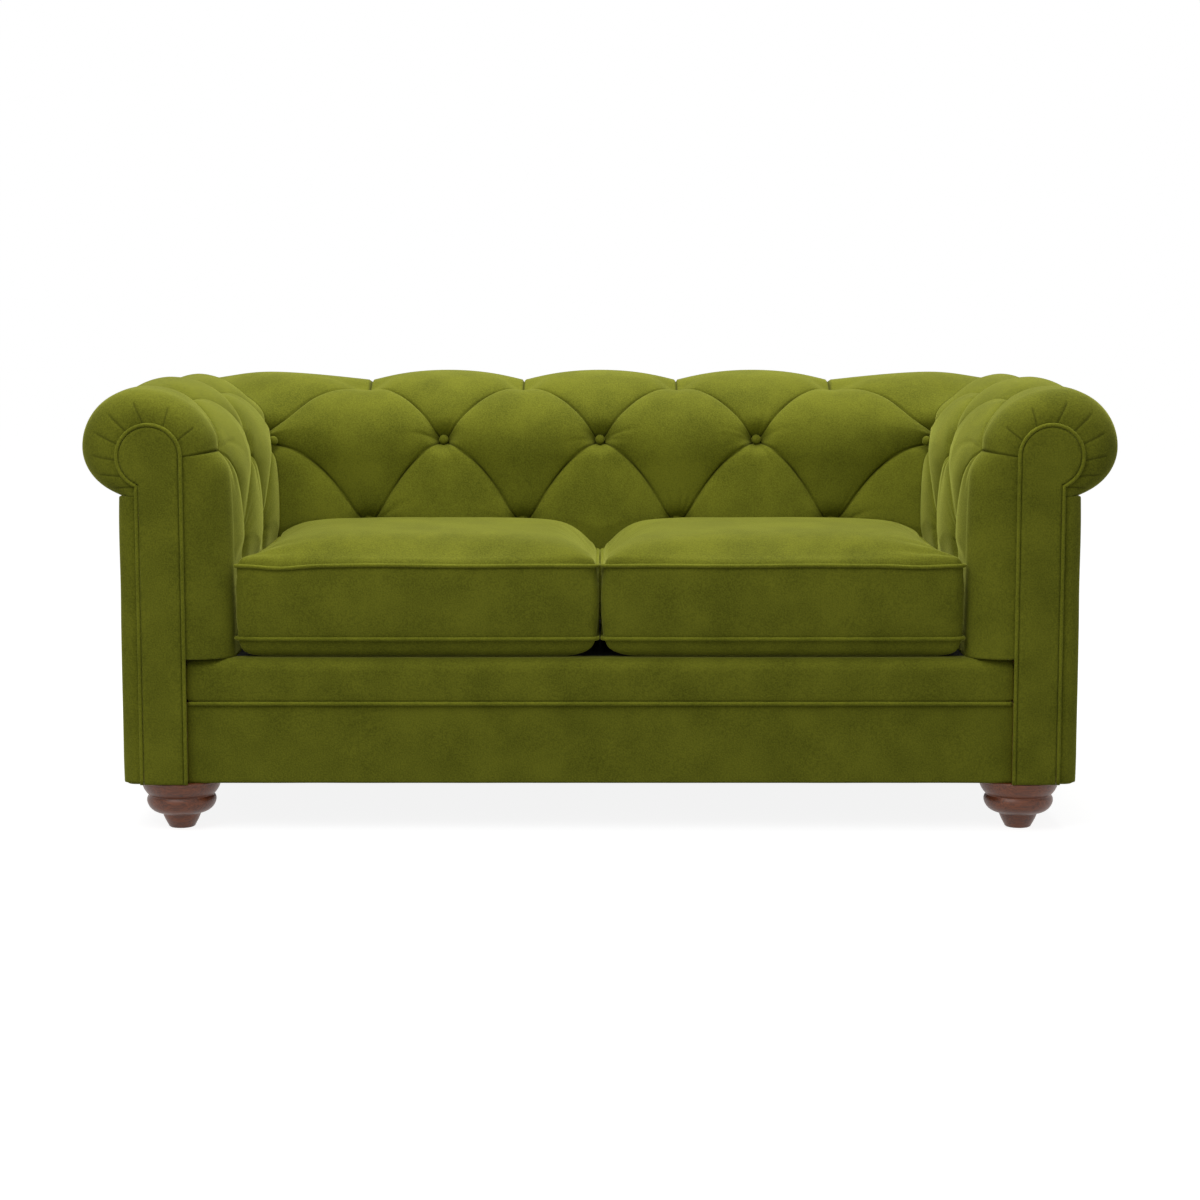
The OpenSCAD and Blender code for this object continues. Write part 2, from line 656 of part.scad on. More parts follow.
// How far the front and rear corners are rounded off
front_cut = 3;
rear_cut = 4;
function bulge(u) = 1 - pow(abs(u), 2.5);
function cushion_plan(u, v) =
    let (ears = ear * exp(-pow((v + 0.975) / 0.042, 2)),
        x0 = -(cushion_side + ears - arm_draw * bulge(v) - edge_in),
        x1 = -cushion_gap - edge_in - mid_draw * bulge(v),
        y0 = cushion_y0 + edge_in + front_draw * pow(abs(u), 3), y1 = cushion_y1 - edge_in,
        c = pow(abs(u * v), 40) * (v < 0 ? front_cut : rear_cut))
    [lerp(x0, x1, (u + 1) / 2) - sign(u) * c, lerp(y0, y1, (v + 1) / 2) - sign(v) * c];
rim = concat(
    [for (k = [0:nu - 2]) [k, 0]], [for (k = [0:nv - 2]) [nu - 1, k]],
    [for (k = [nu - 1:-1:1]) [k, nv - 1]], [for (k = [nv - 1:-1:1]) [0, k]]
);
nr = len(rim);
function rim_point(k) = let (g = rim[(k + nr) % nr]) cushion_plan(u_list[g[0]], v_list[g[1]]);
function rim_side(k) = let (d = rim_point(k + 1) - rim_point(k)) [d[1], -d[0]] / norm(d);
function rim_out(k) = let (a = rim_side(k - 1), b = rim_side(k)) (a + b) / (1 + a * b);
// How far the side band swells halfway up
band_swell = 4;

module cushion_shell() {
    // Top and bottom grids share their rims with a belt halfway up the side band
    belly = [for (k = [0:nr - 1]) let (m = rim_point(k) + band_swell * rim_out(k)) [m[0], m[1], zip_z]];
    top = [for (u = u_list, v = v_list) let (m = cushion_plan(u, v))
        [m[0], m[1], upper_z + crown_h * pow(bulge(u) * bulge(v), 0.62)]];
    base = [for (u = u_list, v = v_list) let (m = cushion_plan(u, v),
        f = min(1, 7 * (1 - abs(u))) * min(1, 7 * (1 - abs(v))))
        [m[0], m[1], lower_z - belly_h * sqrt(max(0, 1 - pow(1 - f, 2)))]];
    n = nu * nv;
    function t(i, j) = i * nv + j;
    function b(i, j) = n + i * nv + j;
    function g(k) = let (c = rim[(k + nr) % nr]) t(c[0], c[1]);
    function w(k) = 2 * n + (k + nr) % nr;
    cells = [for (i = [0:nu - 2], j = [0:nv - 2]) each [
        [t(i, j), t(i, j + 1), t(i + 1, j + 1)], [t(i, j), t(i + 1, j + 1), t(i + 1, j)],
        [b(i, j), b(i + 1, j + 1), b(i, j + 1)], [b(i, j), b(i + 1, j), b(i + 1, j + 1)]]];
    band = [for (k = [0:nr - 1]) each [
        [g(k), g(k + 1), w(k + 1)], [g(k), w(k + 1), w(k)],
        [w(k), w(k + 1), g(k + 1) + n], [w(k), g(k + 1) + n, g(k) + n]]];
    polyhedron(points = concat(top, base, belly), faces = concat(cells, band), convexity = 6);
}
core_inset = 4;
core_low = [-cushion_side + edge_in + wrap_t, cushion_y0 + edge_in + wrap_t, lower_z + core_inset];
core_high = [-edge_in - wrap_t, cushion_y1 - edge_in - wrap_t, upper_z - core_inset];
module cushion_cover() {
    color(velvet) difference() {
        cushion_shell();
        block(core_low, core_high);
    }
}
module cushion_core() {
    inset = seat_gap * [1, 1, 1];
    color(foam) block(core_low + inset, core_high - inset);
}
module cushion_piping() {
    sides = 6;
    pipe_r = (pipe_d - seat_gap) / 2;
    pipe_mid = pipe_r + 2 * seat_gap;
    color(velvet_dark) for (z = [lower_z, upper_z]) {
        points = [for (k = [0:nr - 1], s = [0:sides - 1])
            let (a = 360 * s / sides, m = rim_point(k) + (pipe_mid + pipe_r * cos(a)) * rim_out(k))
            [m[0], m[1], z + pipe_r * sin(a)]];
        faces = [for (k = [0:nr - 1], s = [0:sides - 1])
            let (a = k * sides + s, b = k * sides + (s + 1) % sides,
                c = ((k + 1) % nr) * sides + s, d = ((k + 1) % nr) * sides + (s + 1) % sides)
            each [[a, b, d], [a, d, c]]];
        polyhedron(points = points, faces = faces, convexity = 6);
    }
}
cushion_mid = (-cushion_side - cushion_gap) / 2;
zip_y = cushion_y1 - edge_in + band_swell + seat_gap;
tape_t = 1.2;
module cushion_zip() {
    teeth_w = 5;
    start = cushion_mid - zip_l / 2;
    color(velvet_dark) {
        block([start, zip_y, zip_z - zip_w / 2], [start + zip_l, zip_y + tape_t, zip_z + zip_w / 2]);
        block([start, zip_y + tape_t, zip_z - teeth_w / 2],
            [start + zip_l, zip_y + 2 * tape_t, zip_z + teeth_w / 2]);
    }
}
module zip_slider() {
    slider_w = 9;
    slider_t = 2;
    slider_in = 6;
    pull_w = 4;
    pull_t = 1;
    start = cushion_mid - zip_l / 2 + slider_in;
    mid = start + slider_l / 2;
    y = zip_y + 2 * tape_t + bolt_fit;
    color(steel) {
        block([start, y, zip_z - slider_w / 2], [start + slider_l, y + slider_t, zip_z + slider_w / 2]);
        block([mid - pull_w / 2, y + slider_t, zip_z - pull_l],
            [mid + pull_w / 2, y + slider_t + pull_t, zip_z]);
    }
}
module left_cushion_cover() { cushion_cover(); }
module right_cushion_cover() { mirror([1, 0, 0]) cushion_cover(); }
module left_cushion_core() { cushion_core(); }
module right_cushion_core() { mirror([1, 0, 0]) cushion_core(); }
module left_cushion_piping() { cushion_piping(); }
module right_cushion_piping() { mirror([1, 0, 0]) cushion_piping(); }
module left_cushion_zip() { cushion_zip(); }
module right_cushion_zip() { mirror([1, 0, 0]) cushion_zip(); }
module left_zip_slider() { zip_slider(); }
module right_zip_slider() { mirror([1, 0, 0]) zip_slider(); }

// Turned feet: a plate, a groove, a ball and a tapered toe
module at_feet() {
    for (x = [-foot_x, foot_x], y = [front_foot_y, rear_foot_y]) translate([x, y, 0]) children();
}
bolt_low = foot_h - bolt_in;
module foot() {
    // The turned profile is drawn in shares of the foot's height
    ball_z = 0.53 * foot_h;
    groove_z = 0.68 * foot_h;
    ankle_z = 0.28 * foot_h;
    ball_h = 0.75 * (ball_z - ankle_z);
    ankle_r = 30;
    groove_r = foot_ball_r - 3;
    bevel = 2;
    plate_h = 6;
    step = 0.5;
    toe_steps = 5;
    toe = [for (k = [0:toe_steps]) let (t = k / toe_steps)
        [lerp(foot_toe_r, ankle_r, pow(t, 1.3)), lerp(bevel, ankle_z, t)]];
    ball = [for (k = [-9:6]) [lerp(ankle_r, foot_ball_r, cos(10 * k)), ball_z + ball_h * sin(10 * k)]];
    plate = [for (k = [0:6])
        [lerp(groove_r, foot_r, sin(15 * k)), lerp(groove_z, foot_h - plate_h, 1 - cos(15 * k))]];
    color(walnut) difference() {
        rotate_extrude($fn = 96) polygon(concat(
            [[0, 0], [foot_toe_r - bevel, 0]], toe,
            [for (b = ball) if (b[1] > ankle_z + step && b[1] < groove_z - step) b],
            plate, [[foot_r, foot_h - bevel], [foot_r - bevel, foot_h], [0, foot_h]]));
        translate([0, 0, bolt_low]) cylinder(d = bolt_d + bolt_fit, h = foot_h, $fn = 32);
    }
}
module front_left_foot() { translate([-foot_x, front_foot_y, 0]) foot(); }
module front_right_foot() { translate([foot_x, front_foot_y, 0]) foot(); }
module rear_left_foot() { translate([-foot_x, rear_foot_y, 0]) foot(); }
module rear_right_foot() { translate([foot_x, rear_foot_y, 0]) foot(); }
module foot_bolts() {
    color(steel) at_feet() translate([0, 0, bolt_low + 1]) cylinder(d = bolt_d, h = bolt_l, $fn = 32);
}
module foot_tee_nuts() {
    flange_t = 2;
    color(steel) at_feet() translate([0, 0, block_top]) difference() {
        union() {
            translate([0, 0, flange_t - nut_l]) cylinder(d = bolt_d + 2 * nut_wall, h = nut_l, $fn = 32);
            cylinder(d = nut_d, h = flange_t, $fn = 32);
        }
        translate([0, 0, -nut_l]) cylinder(d = bolt_d + bolt_fit, h = 2 * nut_l, $fn = 32);
    }
}

front_rail();
rear_rail();
left_side_rail();
right_side_rail();
centre_seat_rail();
back_seat_rail();
corner_blocks();
left_scroll_board();
right_scroll_board();
left_front_post();
right_front_post();
left_back_post();
right_back_post();
left_arm_top_rail();
right_arm_top_rail();
back_top_rail();
back_roll_rail();
arm_tack_rails();
back_tack_rail();
back_stile();
seat_springs();
spring_clips();
seat_deck();
back_webbing();
inside_back_pad();
left_arm_pad();
right_arm_pad();
outside_back_panel();
left_outside_arm_panel();
right_outside_arm_panel();
left_arm_facing();
right_arm_facing();
left_facing_piping();
right_facing_piping();
front_border();
border_welt();
front_rail_cover();
dust_cover();
back_buttons();
left_arm_buttons();
right_arm_buttons();
left_cushion_cover();
right_cushion_cover();
left_cushion_core();
right_cushion_core();
left_cushion_piping();
right_cushion_piping();
left_cushion_zip();
right_cushion_zip();
left_zip_slider();
right_zip_slider();
front_left_foot();
front_right_foot();
rear_left_foot();
rear_right_foot();
foot_bolts();
foot_tee_nuts();
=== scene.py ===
import json
import math

import bpy
import numpy as np
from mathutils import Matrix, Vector, noise


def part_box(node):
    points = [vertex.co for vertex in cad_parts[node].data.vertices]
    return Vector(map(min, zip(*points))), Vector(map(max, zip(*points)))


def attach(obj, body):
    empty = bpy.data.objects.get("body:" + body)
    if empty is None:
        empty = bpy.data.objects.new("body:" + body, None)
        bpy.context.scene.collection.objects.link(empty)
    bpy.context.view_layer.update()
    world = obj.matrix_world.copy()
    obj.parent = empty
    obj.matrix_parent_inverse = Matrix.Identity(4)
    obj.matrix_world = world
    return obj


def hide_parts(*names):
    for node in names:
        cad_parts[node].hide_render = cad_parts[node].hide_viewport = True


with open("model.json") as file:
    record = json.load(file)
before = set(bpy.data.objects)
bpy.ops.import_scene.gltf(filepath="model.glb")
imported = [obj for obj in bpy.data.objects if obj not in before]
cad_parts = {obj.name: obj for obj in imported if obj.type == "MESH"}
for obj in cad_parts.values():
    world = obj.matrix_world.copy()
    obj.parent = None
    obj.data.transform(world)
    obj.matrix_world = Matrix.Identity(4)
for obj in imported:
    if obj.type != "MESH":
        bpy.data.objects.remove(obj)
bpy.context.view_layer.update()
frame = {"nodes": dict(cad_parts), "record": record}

mm = 0.001


def boxOf(node):
    # lowest and highest corner of a CAD node, in millimetres
    low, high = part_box(node)
    return np.array(low) / mm, np.array(high) / mm


def smooth(t):
    t = np.clip(t, 0, 1)
    return t * t * (3 - 2 * t)


def bell(x, width):
    return np.exp(-(x / width) ** 2)


def mix(a, b, t):
    return a + (b - a) * t


# Camera and studio

camera = {"back": 4.875, "height": 0.926, "tilt": 6.645, "lens": 76.74}
studio = {
    "worldLight": 0.40,
    "keyPower": 50, "keySize": 2.6, "keyAt": (-1.5, -2.6, 3.3),
    "topPower": 100, "topSize": 3.0, "topAt": (0.2, 0.45, 3.5),
    "floorColour": "#959595", "floorGlow": 0.88,
    "floorSize": 60,
}

cameraData = bpy.data.cameras.new("camera")
cameraData.lens = camera["lens"]
cameraData.sensor_width = 36
cameraData.clip_end = 200
cameraObject = bpy.data.objects.new("camera", cameraData)
bpy.context.scene.collection.objects.link(cameraObject)
cameraObject.location = (0, -camera["back"], camera["height"])
cameraObject.rotation_euler = (math.radians(90 - camera["tilt"]), 0, 0)
bpy.context.scene.camera = cameraObject
bpy.context.scene.view_settings.view_transform = "Standard"


def linear(hexColour, alpha=1.0):
    # sRGB hex to the linear colour that Blender's nodes take
    parts = [int(hexColour[i:i + 2], 16) / 255 for i in (1, 3, 5)]
    return tuple(c / 12.92 if c <= 0.04045 else ((c + 0.055) / 1.055) ** 2.4 for c in parts) + (alpha,)


def addNode(tree, kind, inputs=None, **settings):
    # one node: settings are its own properties, inputs are values or sockets to link from
    node = tree.nodes.new("ShaderNode" + kind)
    for name, value in settings.items():
        setattr(node, name, value)
    for name, value in (inputs or {}).items():
        if isinstance(value, bpy.types.NodeSocket):
            tree.links.new(value, node.inputs[name])
        else:
            node.inputs[name].default_value = value
    return node


def worked(tree, operation, *values):
    # the result of one sum on values or sockets
    return addNode(tree, "Math", dict(enumerate(values)), operation=operation).outputs[0]


def newMaterial(name):
    material = bpy.data.materials.new(name)
    material.use_nodes = True
    tree = material.node_tree
    tree.nodes.clear()
    return material, tree


def addLamp(name, power, size, at, aim=(0, 0, 0.4)):
    light = bpy.data.lights.new(name, "AREA")
    light.energy = power
    light.shape = "DISK"
    light.size = size
    lamp = bpy.data.objects.new(name, light)
    bpy.context.scene.collection.objects.link(lamp)
    lamp.location = at
    lamp.rotation_euler = (Vector(aim) - Vector(at)).to_track_quat("-Z", "Y").to_euler()


def seenRay(tree):
    # 1 for what the camera sees, straight, mirrored or through glass
    path = addNode(tree, "LightPath").outputs
    seen = worked(tree, "MAXIMUM", path["Is Camera Ray"], path["Is Glossy Ray"])
    return worked(tree, "MAXIMUM", seen, path["Is Transmission Ray"])


def makeStudio():
    world = bpy.data.worlds.new("studio")
    bpy.context.scene.world = world
    world.use_nodes = True
    tree = world.node_tree
    tree.nodes.clear()
    white = (1, 1, 1, 1)
    soft = addNode(tree, "Background", {"Color": white, "Strength": studio["worldLight"]})
    plain = addNode(tree, "Background", {"Color": white, "Strength": 1.0})
    both = addNode(tree, "MixShader", {0: seenRay(tree), 1: soft.outputs[0], 2: plain.outputs[0]})
    addNode(tree, "OutputWorld", {"Surface": both.outputs[0]})

    addLamp("keyLamp", studio["keyPower"], studio["keySize"], studio["keyAt"])
    addLamp("topLamp", studio["topPower"], studio["topSize"], studio["topAt"])

    # the floor glows to the camera alone, so it is white and keeps a faint shadow
    material, tree = newMaterial("paintedFloor")
    glow = worked(tree, "MULTIPLY", seenRay(tree), studio["floorGlow"])
    paint = addNode(tree, "BsdfDiffuse", {"Color": linear(studio["floorColour"])})
    light = addNode(tree, "Emission", {"Strength": glow})
    both = addNode(tree, "AddShader", {0: paint.outputs[0], 1: light.outputs[0]})
    addNode(tree, "OutputMaterial", {"Surface": both.outputs[0]})
    half = studio["floorSize"] / 2
    mesh = bpy.data.meshes.new("floor")
    corners = [(-half, -half, 0), (half, -half, 0), (half, half, 0), (-half, half, 0)]
    mesh.from_pydata(corners, [], [(0, 1, 2, 3)])
    floor = bpy.data.objects.new("floor", mesh)
    floor.data.materials.append(material)
    bpy.context.scene.collection.objects.link(floor)


makeStudio()
print("camera, lamps and floor made")


# Materials

def placeIn(tree):
    return addNode(tree, "TexCoord").outputs["Object"]


def noiseAt(tree, place, size, detail, roughness=0.5, distortion=0.0):
    # soft noise with patches about size millimetres wide
    return addNode(tree, "TexNoise", {"Vector": place, "Scale": 1 / (size * mm), "Detail": detail,
                                      "Roughness": roughness, "Distortion": distortion}).outputs["Fac"]


def cellsAt(tree, place, size):
    return addNode(tree, "TexVoronoi", {"Vector": place, "Scale": 1 / (size * mm)}).outputs["Distance"]


def ranged(tree, value, low, high, toLow, toHigh):
    return addNode(tree, "MapRange", {"Value": value, 1: low, 2: high, 3: toLow, 4: toHigh}).outputs[0]


def mixed(tree, share, first, second):
    return addNode(tree, "Mix", {0: share, 6: first, 7: second}, data_type="RGBA").outputs[2]


def bumped(tree, height, strength, depth):
    return addNode(tree, "Bump", {"Height": height, "Strength": strength, "Distance": depth * mm}).outputs[0]


def shaded(colour, shade):
    return tuple(c * shade for c in colour[:3]) + (1,)


def closeMaterial(material, tree, colour, roughness, more):
    # the shader and the output that every finish ends with
    shader = addNode(tree, "BsdfPrincipled", {"Base Color": colour, "Roughness": roughness, **more})
    addNode(tree, "OutputMaterial", {"Surface": shader.outputs[0]})
    return material


velvet = {
    # pile and brushed tones are the cloth's own; the darkest colour is painted shade for its creases and pits
    "pile": "#565a11", "brushed": "#787b20", "paintedShadeColour": "#2e3008", "sheenTint": "#bcbf5a",
    "pileSize": 2.6,        # the pile is finer than this, drawn coarse enough to show
    "patchSize": 90, "speckShare": 0.7, "bump": 0.45,
}


def cottonVelvet(name, shade=1.0, bump=1.0):
    # woven cotton velvet: dark where it faces the eye, pale along its rims, with brushed patches
    material, tree = newMaterial(name)
    place = placeIn(tree)
    grain = noiseAt(tree, place, velvet["pileSize"], 3, 0.6)
    patch = noiseAt(tree, place, velvet["patchSize"], 3, 0.55)
    speck = ranged(tree, grain, 0.36, 0.64, 0.0, 1.0)
    brush = ranged(tree, patch, 0.35, 0.65, 0.0, 0.45)
    share = worked(tree, "MULTIPLY_ADD", speck, velvet["speckShare"], brush)
    nap = mixed(tree, share, shaded(linear(velvet["pile"]), shade), shaded(linear(velvet["brushed"]), shade))
    # painted shade: a per-point attribute darkens the nap toward a dark olive along creases, gathers and
    # seams and in button pits; mostly shade, partly crushed pile
    fold = addNode(tree, "Attribute", attribute_name="fold").outputs["Fac"]
    colour = mixed(tree, fold, nap, linear(velvet["paintedShadeColour"]))
    return closeMaterial(material, tree, colour, 0.95, {
        "IOR": 1.5, "Specular IOR Level": 0.15, "Sheen Weight": 1.0, "Sheen Roughness": 0.32,
        "Sheen Tint": linear(velvet["sheenTint"]), "Normal": bumped(tree, grain, velvet["bump"] * bump, 1.0)})


wood = {
    "walnut": ("#47200f", "#96532f"), "beech": ("#b98f5f", "#d9b98a"), "birch": ("#c9aa78", "#e2cb9c"),
    "grainWidth": 2.4,
}


def turnedWood(name, tones, gloss, along="Z", grain=1.0, coat=0.0):
    # stained or bare wood: streaks along the grain, pores and a slow change of tone
    material, tree = newMaterial(name)
    stretch = {"X": (0.06, 1, 1), "Y": (1, 0.06, 1), "Z": (1, 1, 0.06)}[along]
    drawn = addNode(tree, "Mapping", {"Vector": placeIn(tree), "Scale": stretch}).outputs[0]
    across = wood["grainWidth"] * grain
    streak = noiseAt(tree, drawn, across, 5, 0.65, 0.4)
    slow = noiseAt(tree, drawn, across * 7, 2)
    share = ranged(tree, worked(tree, "MULTIPLY_ADD", slow, 0.5, streak), 0.55, 0.95, 0.0, 1.0)
    colour = mixed(tree, share, linear(tones[0]), linear(tones[1]))
    return closeMaterial(material, tree, colour, gloss, {
        "IOR": 1.5, "Coat Weight": coat, "Coat Roughness": 0.35, "Normal": bumped(tree, streak, 0.25, 0.4)})


def platedSteel(name, hexColour, roughness=0.38):
    # zinc-plated wire and strip: grey metal with a faint crystalline mottle
    material, tree = newMaterial(name)
    mottle = cellsAt(tree, placeIn(tree), 3.0)
    rough = ranged(tree, mottle, 0.0, 1.0, roughness - 0.08, roughness + 0.12)
    base = linear(hexColour)
    colour = mixed(tree, mottle, base, shaded(base, 0.8))
    return closeMaterial(material, tree, colour, rough, {"Metallic": 1.0})


def wovenCloth(name, light, shadow, thread, strength=0.5):
    # plain woven tape or cloth: threads over and under each other along X and the other two axes
    material, tree = newMaterial(name)
    place = placeIn(tree)
    turns = math.tau / (2 * thread * mm)
    parts = addNode(tree, "SeparateXYZ", {0: place}).outputs
    height = worked(tree, "ADD", parts["Y"], parts["Z"])
    warp = worked(tree, "SINE", worked(tree, "MULTIPLY", parts["X"], turns))
    weft = worked(tree, "SINE", worked(tree, "MULTIPLY", height, turns))
    weave = worked(tree, "MULTIPLY", warp, weft)
    tone = worked(tree, "MULTIPLY_ADD", weave, 0.3, noiseAt(tree, place, 25, 4))
    colour = mixed(tree, tone, linear(shadow), linear(light))
    relief = bumped(tree, weave, strength, 0.4)
    return closeMaterial(material, tree, colour, 0.9, {"IOR": 1.5, "Normal": relief})


def openFoam(name):
    # polyurethane foam: pale yellow, with fine open cells
    material, tree = newMaterial(name)
    cells = cellsAt(tree, placeIn(tree), 2.2)
    colour = mixed(tree, cells, linear("#b9ab6e"), linear("#efe5b6"))
    return closeMaterial(material, tree, colour, 0.95, {"IOR": 1.45, "Normal": bumped(tree, cells, 0.6, 0.6)})


finish = {
    "velvet": cottonVelvet("cottonVelvet"),
    # painted highlight: the piping's copy of the velvet is made lighter, standing in for the light along the
    # raised cord
    "velvet_piping": cottonVelvet("velvetPiping", shade=1.15, bump=0.6),
    "velvet_buttons": cottonVelvet("velvetButtons", shade=0.95, bump=0.6),
    "walnut_stain": turnedWood("walnutStainedBeech", wood["walnut"], 0.42, along="X", coat=0.15),
    "beech": turnedWood("planedBeech", wood["beech"], 0.6, along="X"),
    "birch_plywood": turnedWood("birchPlywood", wood["birch"], 0.6, along="Z", grain=1.6),
    "plated_steel": platedSteel("zincPlatedSteel", "#b4b7ba"),
    "zip_slider": platedSteel("antiqueBrass", "#8f7747", 0.34),
    "zip_tape": wovenCloth("wovenZipTape", "#5d6427", "#3c4212", 0.9),
    "black_cloth": wovenCloth("blackDustCloth", "#2a2b27", "#131412", 1.2),
    "webbing": wovenCloth("elasticWebbing", "#c6bda2", "#8f866c", 2.2, strength=0.8),
    "foam": openFoam("seatFoam"),
}
print("materials made:", len(finish))


# Making pieces

def addPiece(name, points, faces, slot, body="sofa", replaces=(), folds=None, padded=None):
    # a mesh in millimetres becomes a dressed piece that rides on a body
    mesh = bpy.data.meshes.new(name)
    mesh.from_pydata((np.asarray(points, float) * mm).tolist(), [], [tuple(int(i) for i in f) for f in faces])
    mesh.validate()
    mesh.update()
    # the painted shade is kept per point, for the velvet to darken by
    if folds is not None:
        layer = mesh.attributes.new("fold", "FLOAT", "POINT")
        layer.data.foreach_set("value", np.asarray(folds, np.float32))
    mesh.shade_smooth()
    mesh.materials.append(finish[slot])
    piece = bpy.data.objects.new(name, mesh)
    bpy.context.scene.collection.objects.link(piece)
    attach(piece, body)
    if replaces:
        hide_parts(*replaces)
    return piece


def flipped(faces):
    return [tuple(reversed(f)) for f in faces]


def seenFrom(side, points, faces):
    # what is made for the left is mirrored for the right
    if side == "left":
        return points, faces
    return np.asarray(points, float) * np.array([-1, 1, 1]), flipped(faces)


def bySide(name, points, faces, **how):
    # the left piece and its mirror image; how's replaces names the left node
    left = how.pop("replaces", ())
    body = how.pop("body", "sofa")
    made = []
    for side in ("left", "right"):
        made.append(addPiece(
            name.replace("left", side), *seenFrom(side, points, faces),
            replaces=[n.replace("left", side) for n in left], body=body.replace("left", side), **how))
    return made


# The wall: the inside back and the inside arms share one section that runs from the seat over the roll

facingLow, facingHigh = boxOf("left_arm_facing")
backLow, backHigh = boxOf("inside_back_pad")
armLow = boxOf("left_arm_pad")[0]
panelLow, panelHigh = boxOf("left_outside_arm_panel")

wall = {
    "rollTop": 777, "rollRadius": 102, "rollDrop": 88, "armIn": 159, "backIn": 202, "kneeHeight": 620,
    "backLean": 12.4, "rowB": 503, "rowA": 663, "backPitch": 310, "pleatAngle": 70,
    "crest": 11.5, "crease": 8.5, "groove": 5, "buttonPull": 34, "notchPull": 14, "pullReach": 22,
    "mitre": 18, "mitreWidth": 35,      # the seam between back and arm roll lies in a dip
    "frontSwell": 6, "frontRise": 0.09, "rowDrop": 0.105, "kneeSoft": 40,
    "bow": 0.12,            # how far the creases arch over the straight line between two buttons, in rows
    "fadeHeight": 60, "cell": 3.2, "frontRoll": 54,
    "padThick": 61, "liningSide": 817, "liningRear": 396, "liningLow": 572,
    # how a pillow rises from a crease: by a steep and a slow length, and the steep one's share; then the
    # groove's width and the width of the painted shade line along each crease
    "upperRise": (5, 40, 0.3), "lowerRise": (6, 46, 0.12), "creaseWidth": 1.3, "shadeLineWidth": 0.9,
    # the wrinkles round a button: number, depth, width in radians and length, each from and to
    "wrinkles": 9, "wrinkleDeep": (1.4, 3.4), "wrinkleWide": (0.07, 0.13), "wrinkleLong": (28, 62),
    "backSeed": 11, "armSeed": 23,
}
armMid = -armLow[0] - wall["rollRadius"]
armFace = armMid - wall["armIn"]
backMid = backHigh[1] - wall["rollRadius"]
cornerY = backMid - wall["backIn"]
padBottom = backLow[2]
padEnd = panelHigh[2] + 0.3
frontY = facingLow[1]
lipY = armLow[1]
bandY = lipY + wall["frontRoll"]
armPitch = (cornerY - bandY) / 2
rowPitch = wall["rowA"] - wall["rowB"]
kneeToTop = wall["rollTop"] - wall["kneeHeight"]
angleA = math.asin((wall["rowA"] - wall["kneeHeight"]) / kneeToTop)
anglePleat = math.radians(wall["pleatAngle"])
rollMid = wall["rollTop"] - wall["rollRadius"]
endAngle = math.asin((rollMid - padEnd) / wall["rollDrop"])
qTop = 1 + (math.pi / 2 - angleA) / (anglePleat - angleA) - 1
qRear = qTop + 1
qEnd = qRear + 0.8
qBottom = -(wall["rowA"] - padBottom) / rowPitch
cornerP = 2.0
straightP = 1.5


def sectionAt(q):
    # the plain section at q rows above row A: share of the way to the roll's middle, reach past it,
    # height, outward direction across and outward direction up
    z = wall["rowA"] + q * rowPitch
    low = np.where(z > wall["kneeHeight"], np.arcsin(np.clip((z - wall["kneeHeight"]) / kneeToTop, 0, 1)), 0)
    turn = np.where(q <= 0, low, np.minimum(angleA + (anglePleat - angleA) * q, math.pi / 2))
    roll = np.where(q <= qRear, math.pi / 2 * (qRear - q), -endAngle * (q - qRear) / (qEnd - qRear))
    over = q > qTop
    drop = np.where(roll > 0, wall["rollRadius"], wall["rollDrop"])
    share = np.where(over, 1, 1 - np.cos(turn))
    reach = np.where(over, wall["rollRadius"] * np.cos(roll), 0)
    inner = np.where(q <= 0, z, wall["kneeHeight"] + kneeToTop * np.sin(turn))
    height = np.where(over, rollMid + drop * np.sin(roll), inner)
    outAcross = np.where(over, np.cos(roll), -np.cos(turn))
    outUp = np.where(over, np.sin(roll), np.sin(turn))
    return share, reach, height, outAcross, outUp


def bowAt(p, q):
    # the creases arch: how far up the section a lattice point is moved, in rows
    soft = 0.3
    arch = (np.sqrt(np.sin(2 * np.pi * p) ** 2 + soft ** 2) - soft) / (math.sqrt(1 + soft ** 2) - soft)
    near = np.where(q < -1, smooth(1 + (q + 1) / 0.6), np.where(q > 1, smooth(1 - (q - 1) / 0.37), 1))
    drop = wall["rowDrop"] * bell(q + 1, 0.5)
    return wall["bow"] * arch * near - drop


def frontRise(p, q):
    # the first crease of an arm ends a little higher, in rows
    return wall["frontRise"] * np.clip(1 - np.abs(q), 0, 1) * bell(p, 0.3)


def leave(away, edge):
    # how fully a pillow has risen this far from the crease over or under it
    steep, slow, share = wall[edge + "Rise"]
    return share * (1 - np.exp(-away / steep)) + (1 - share) * (1 - np.exp(-away / slow))


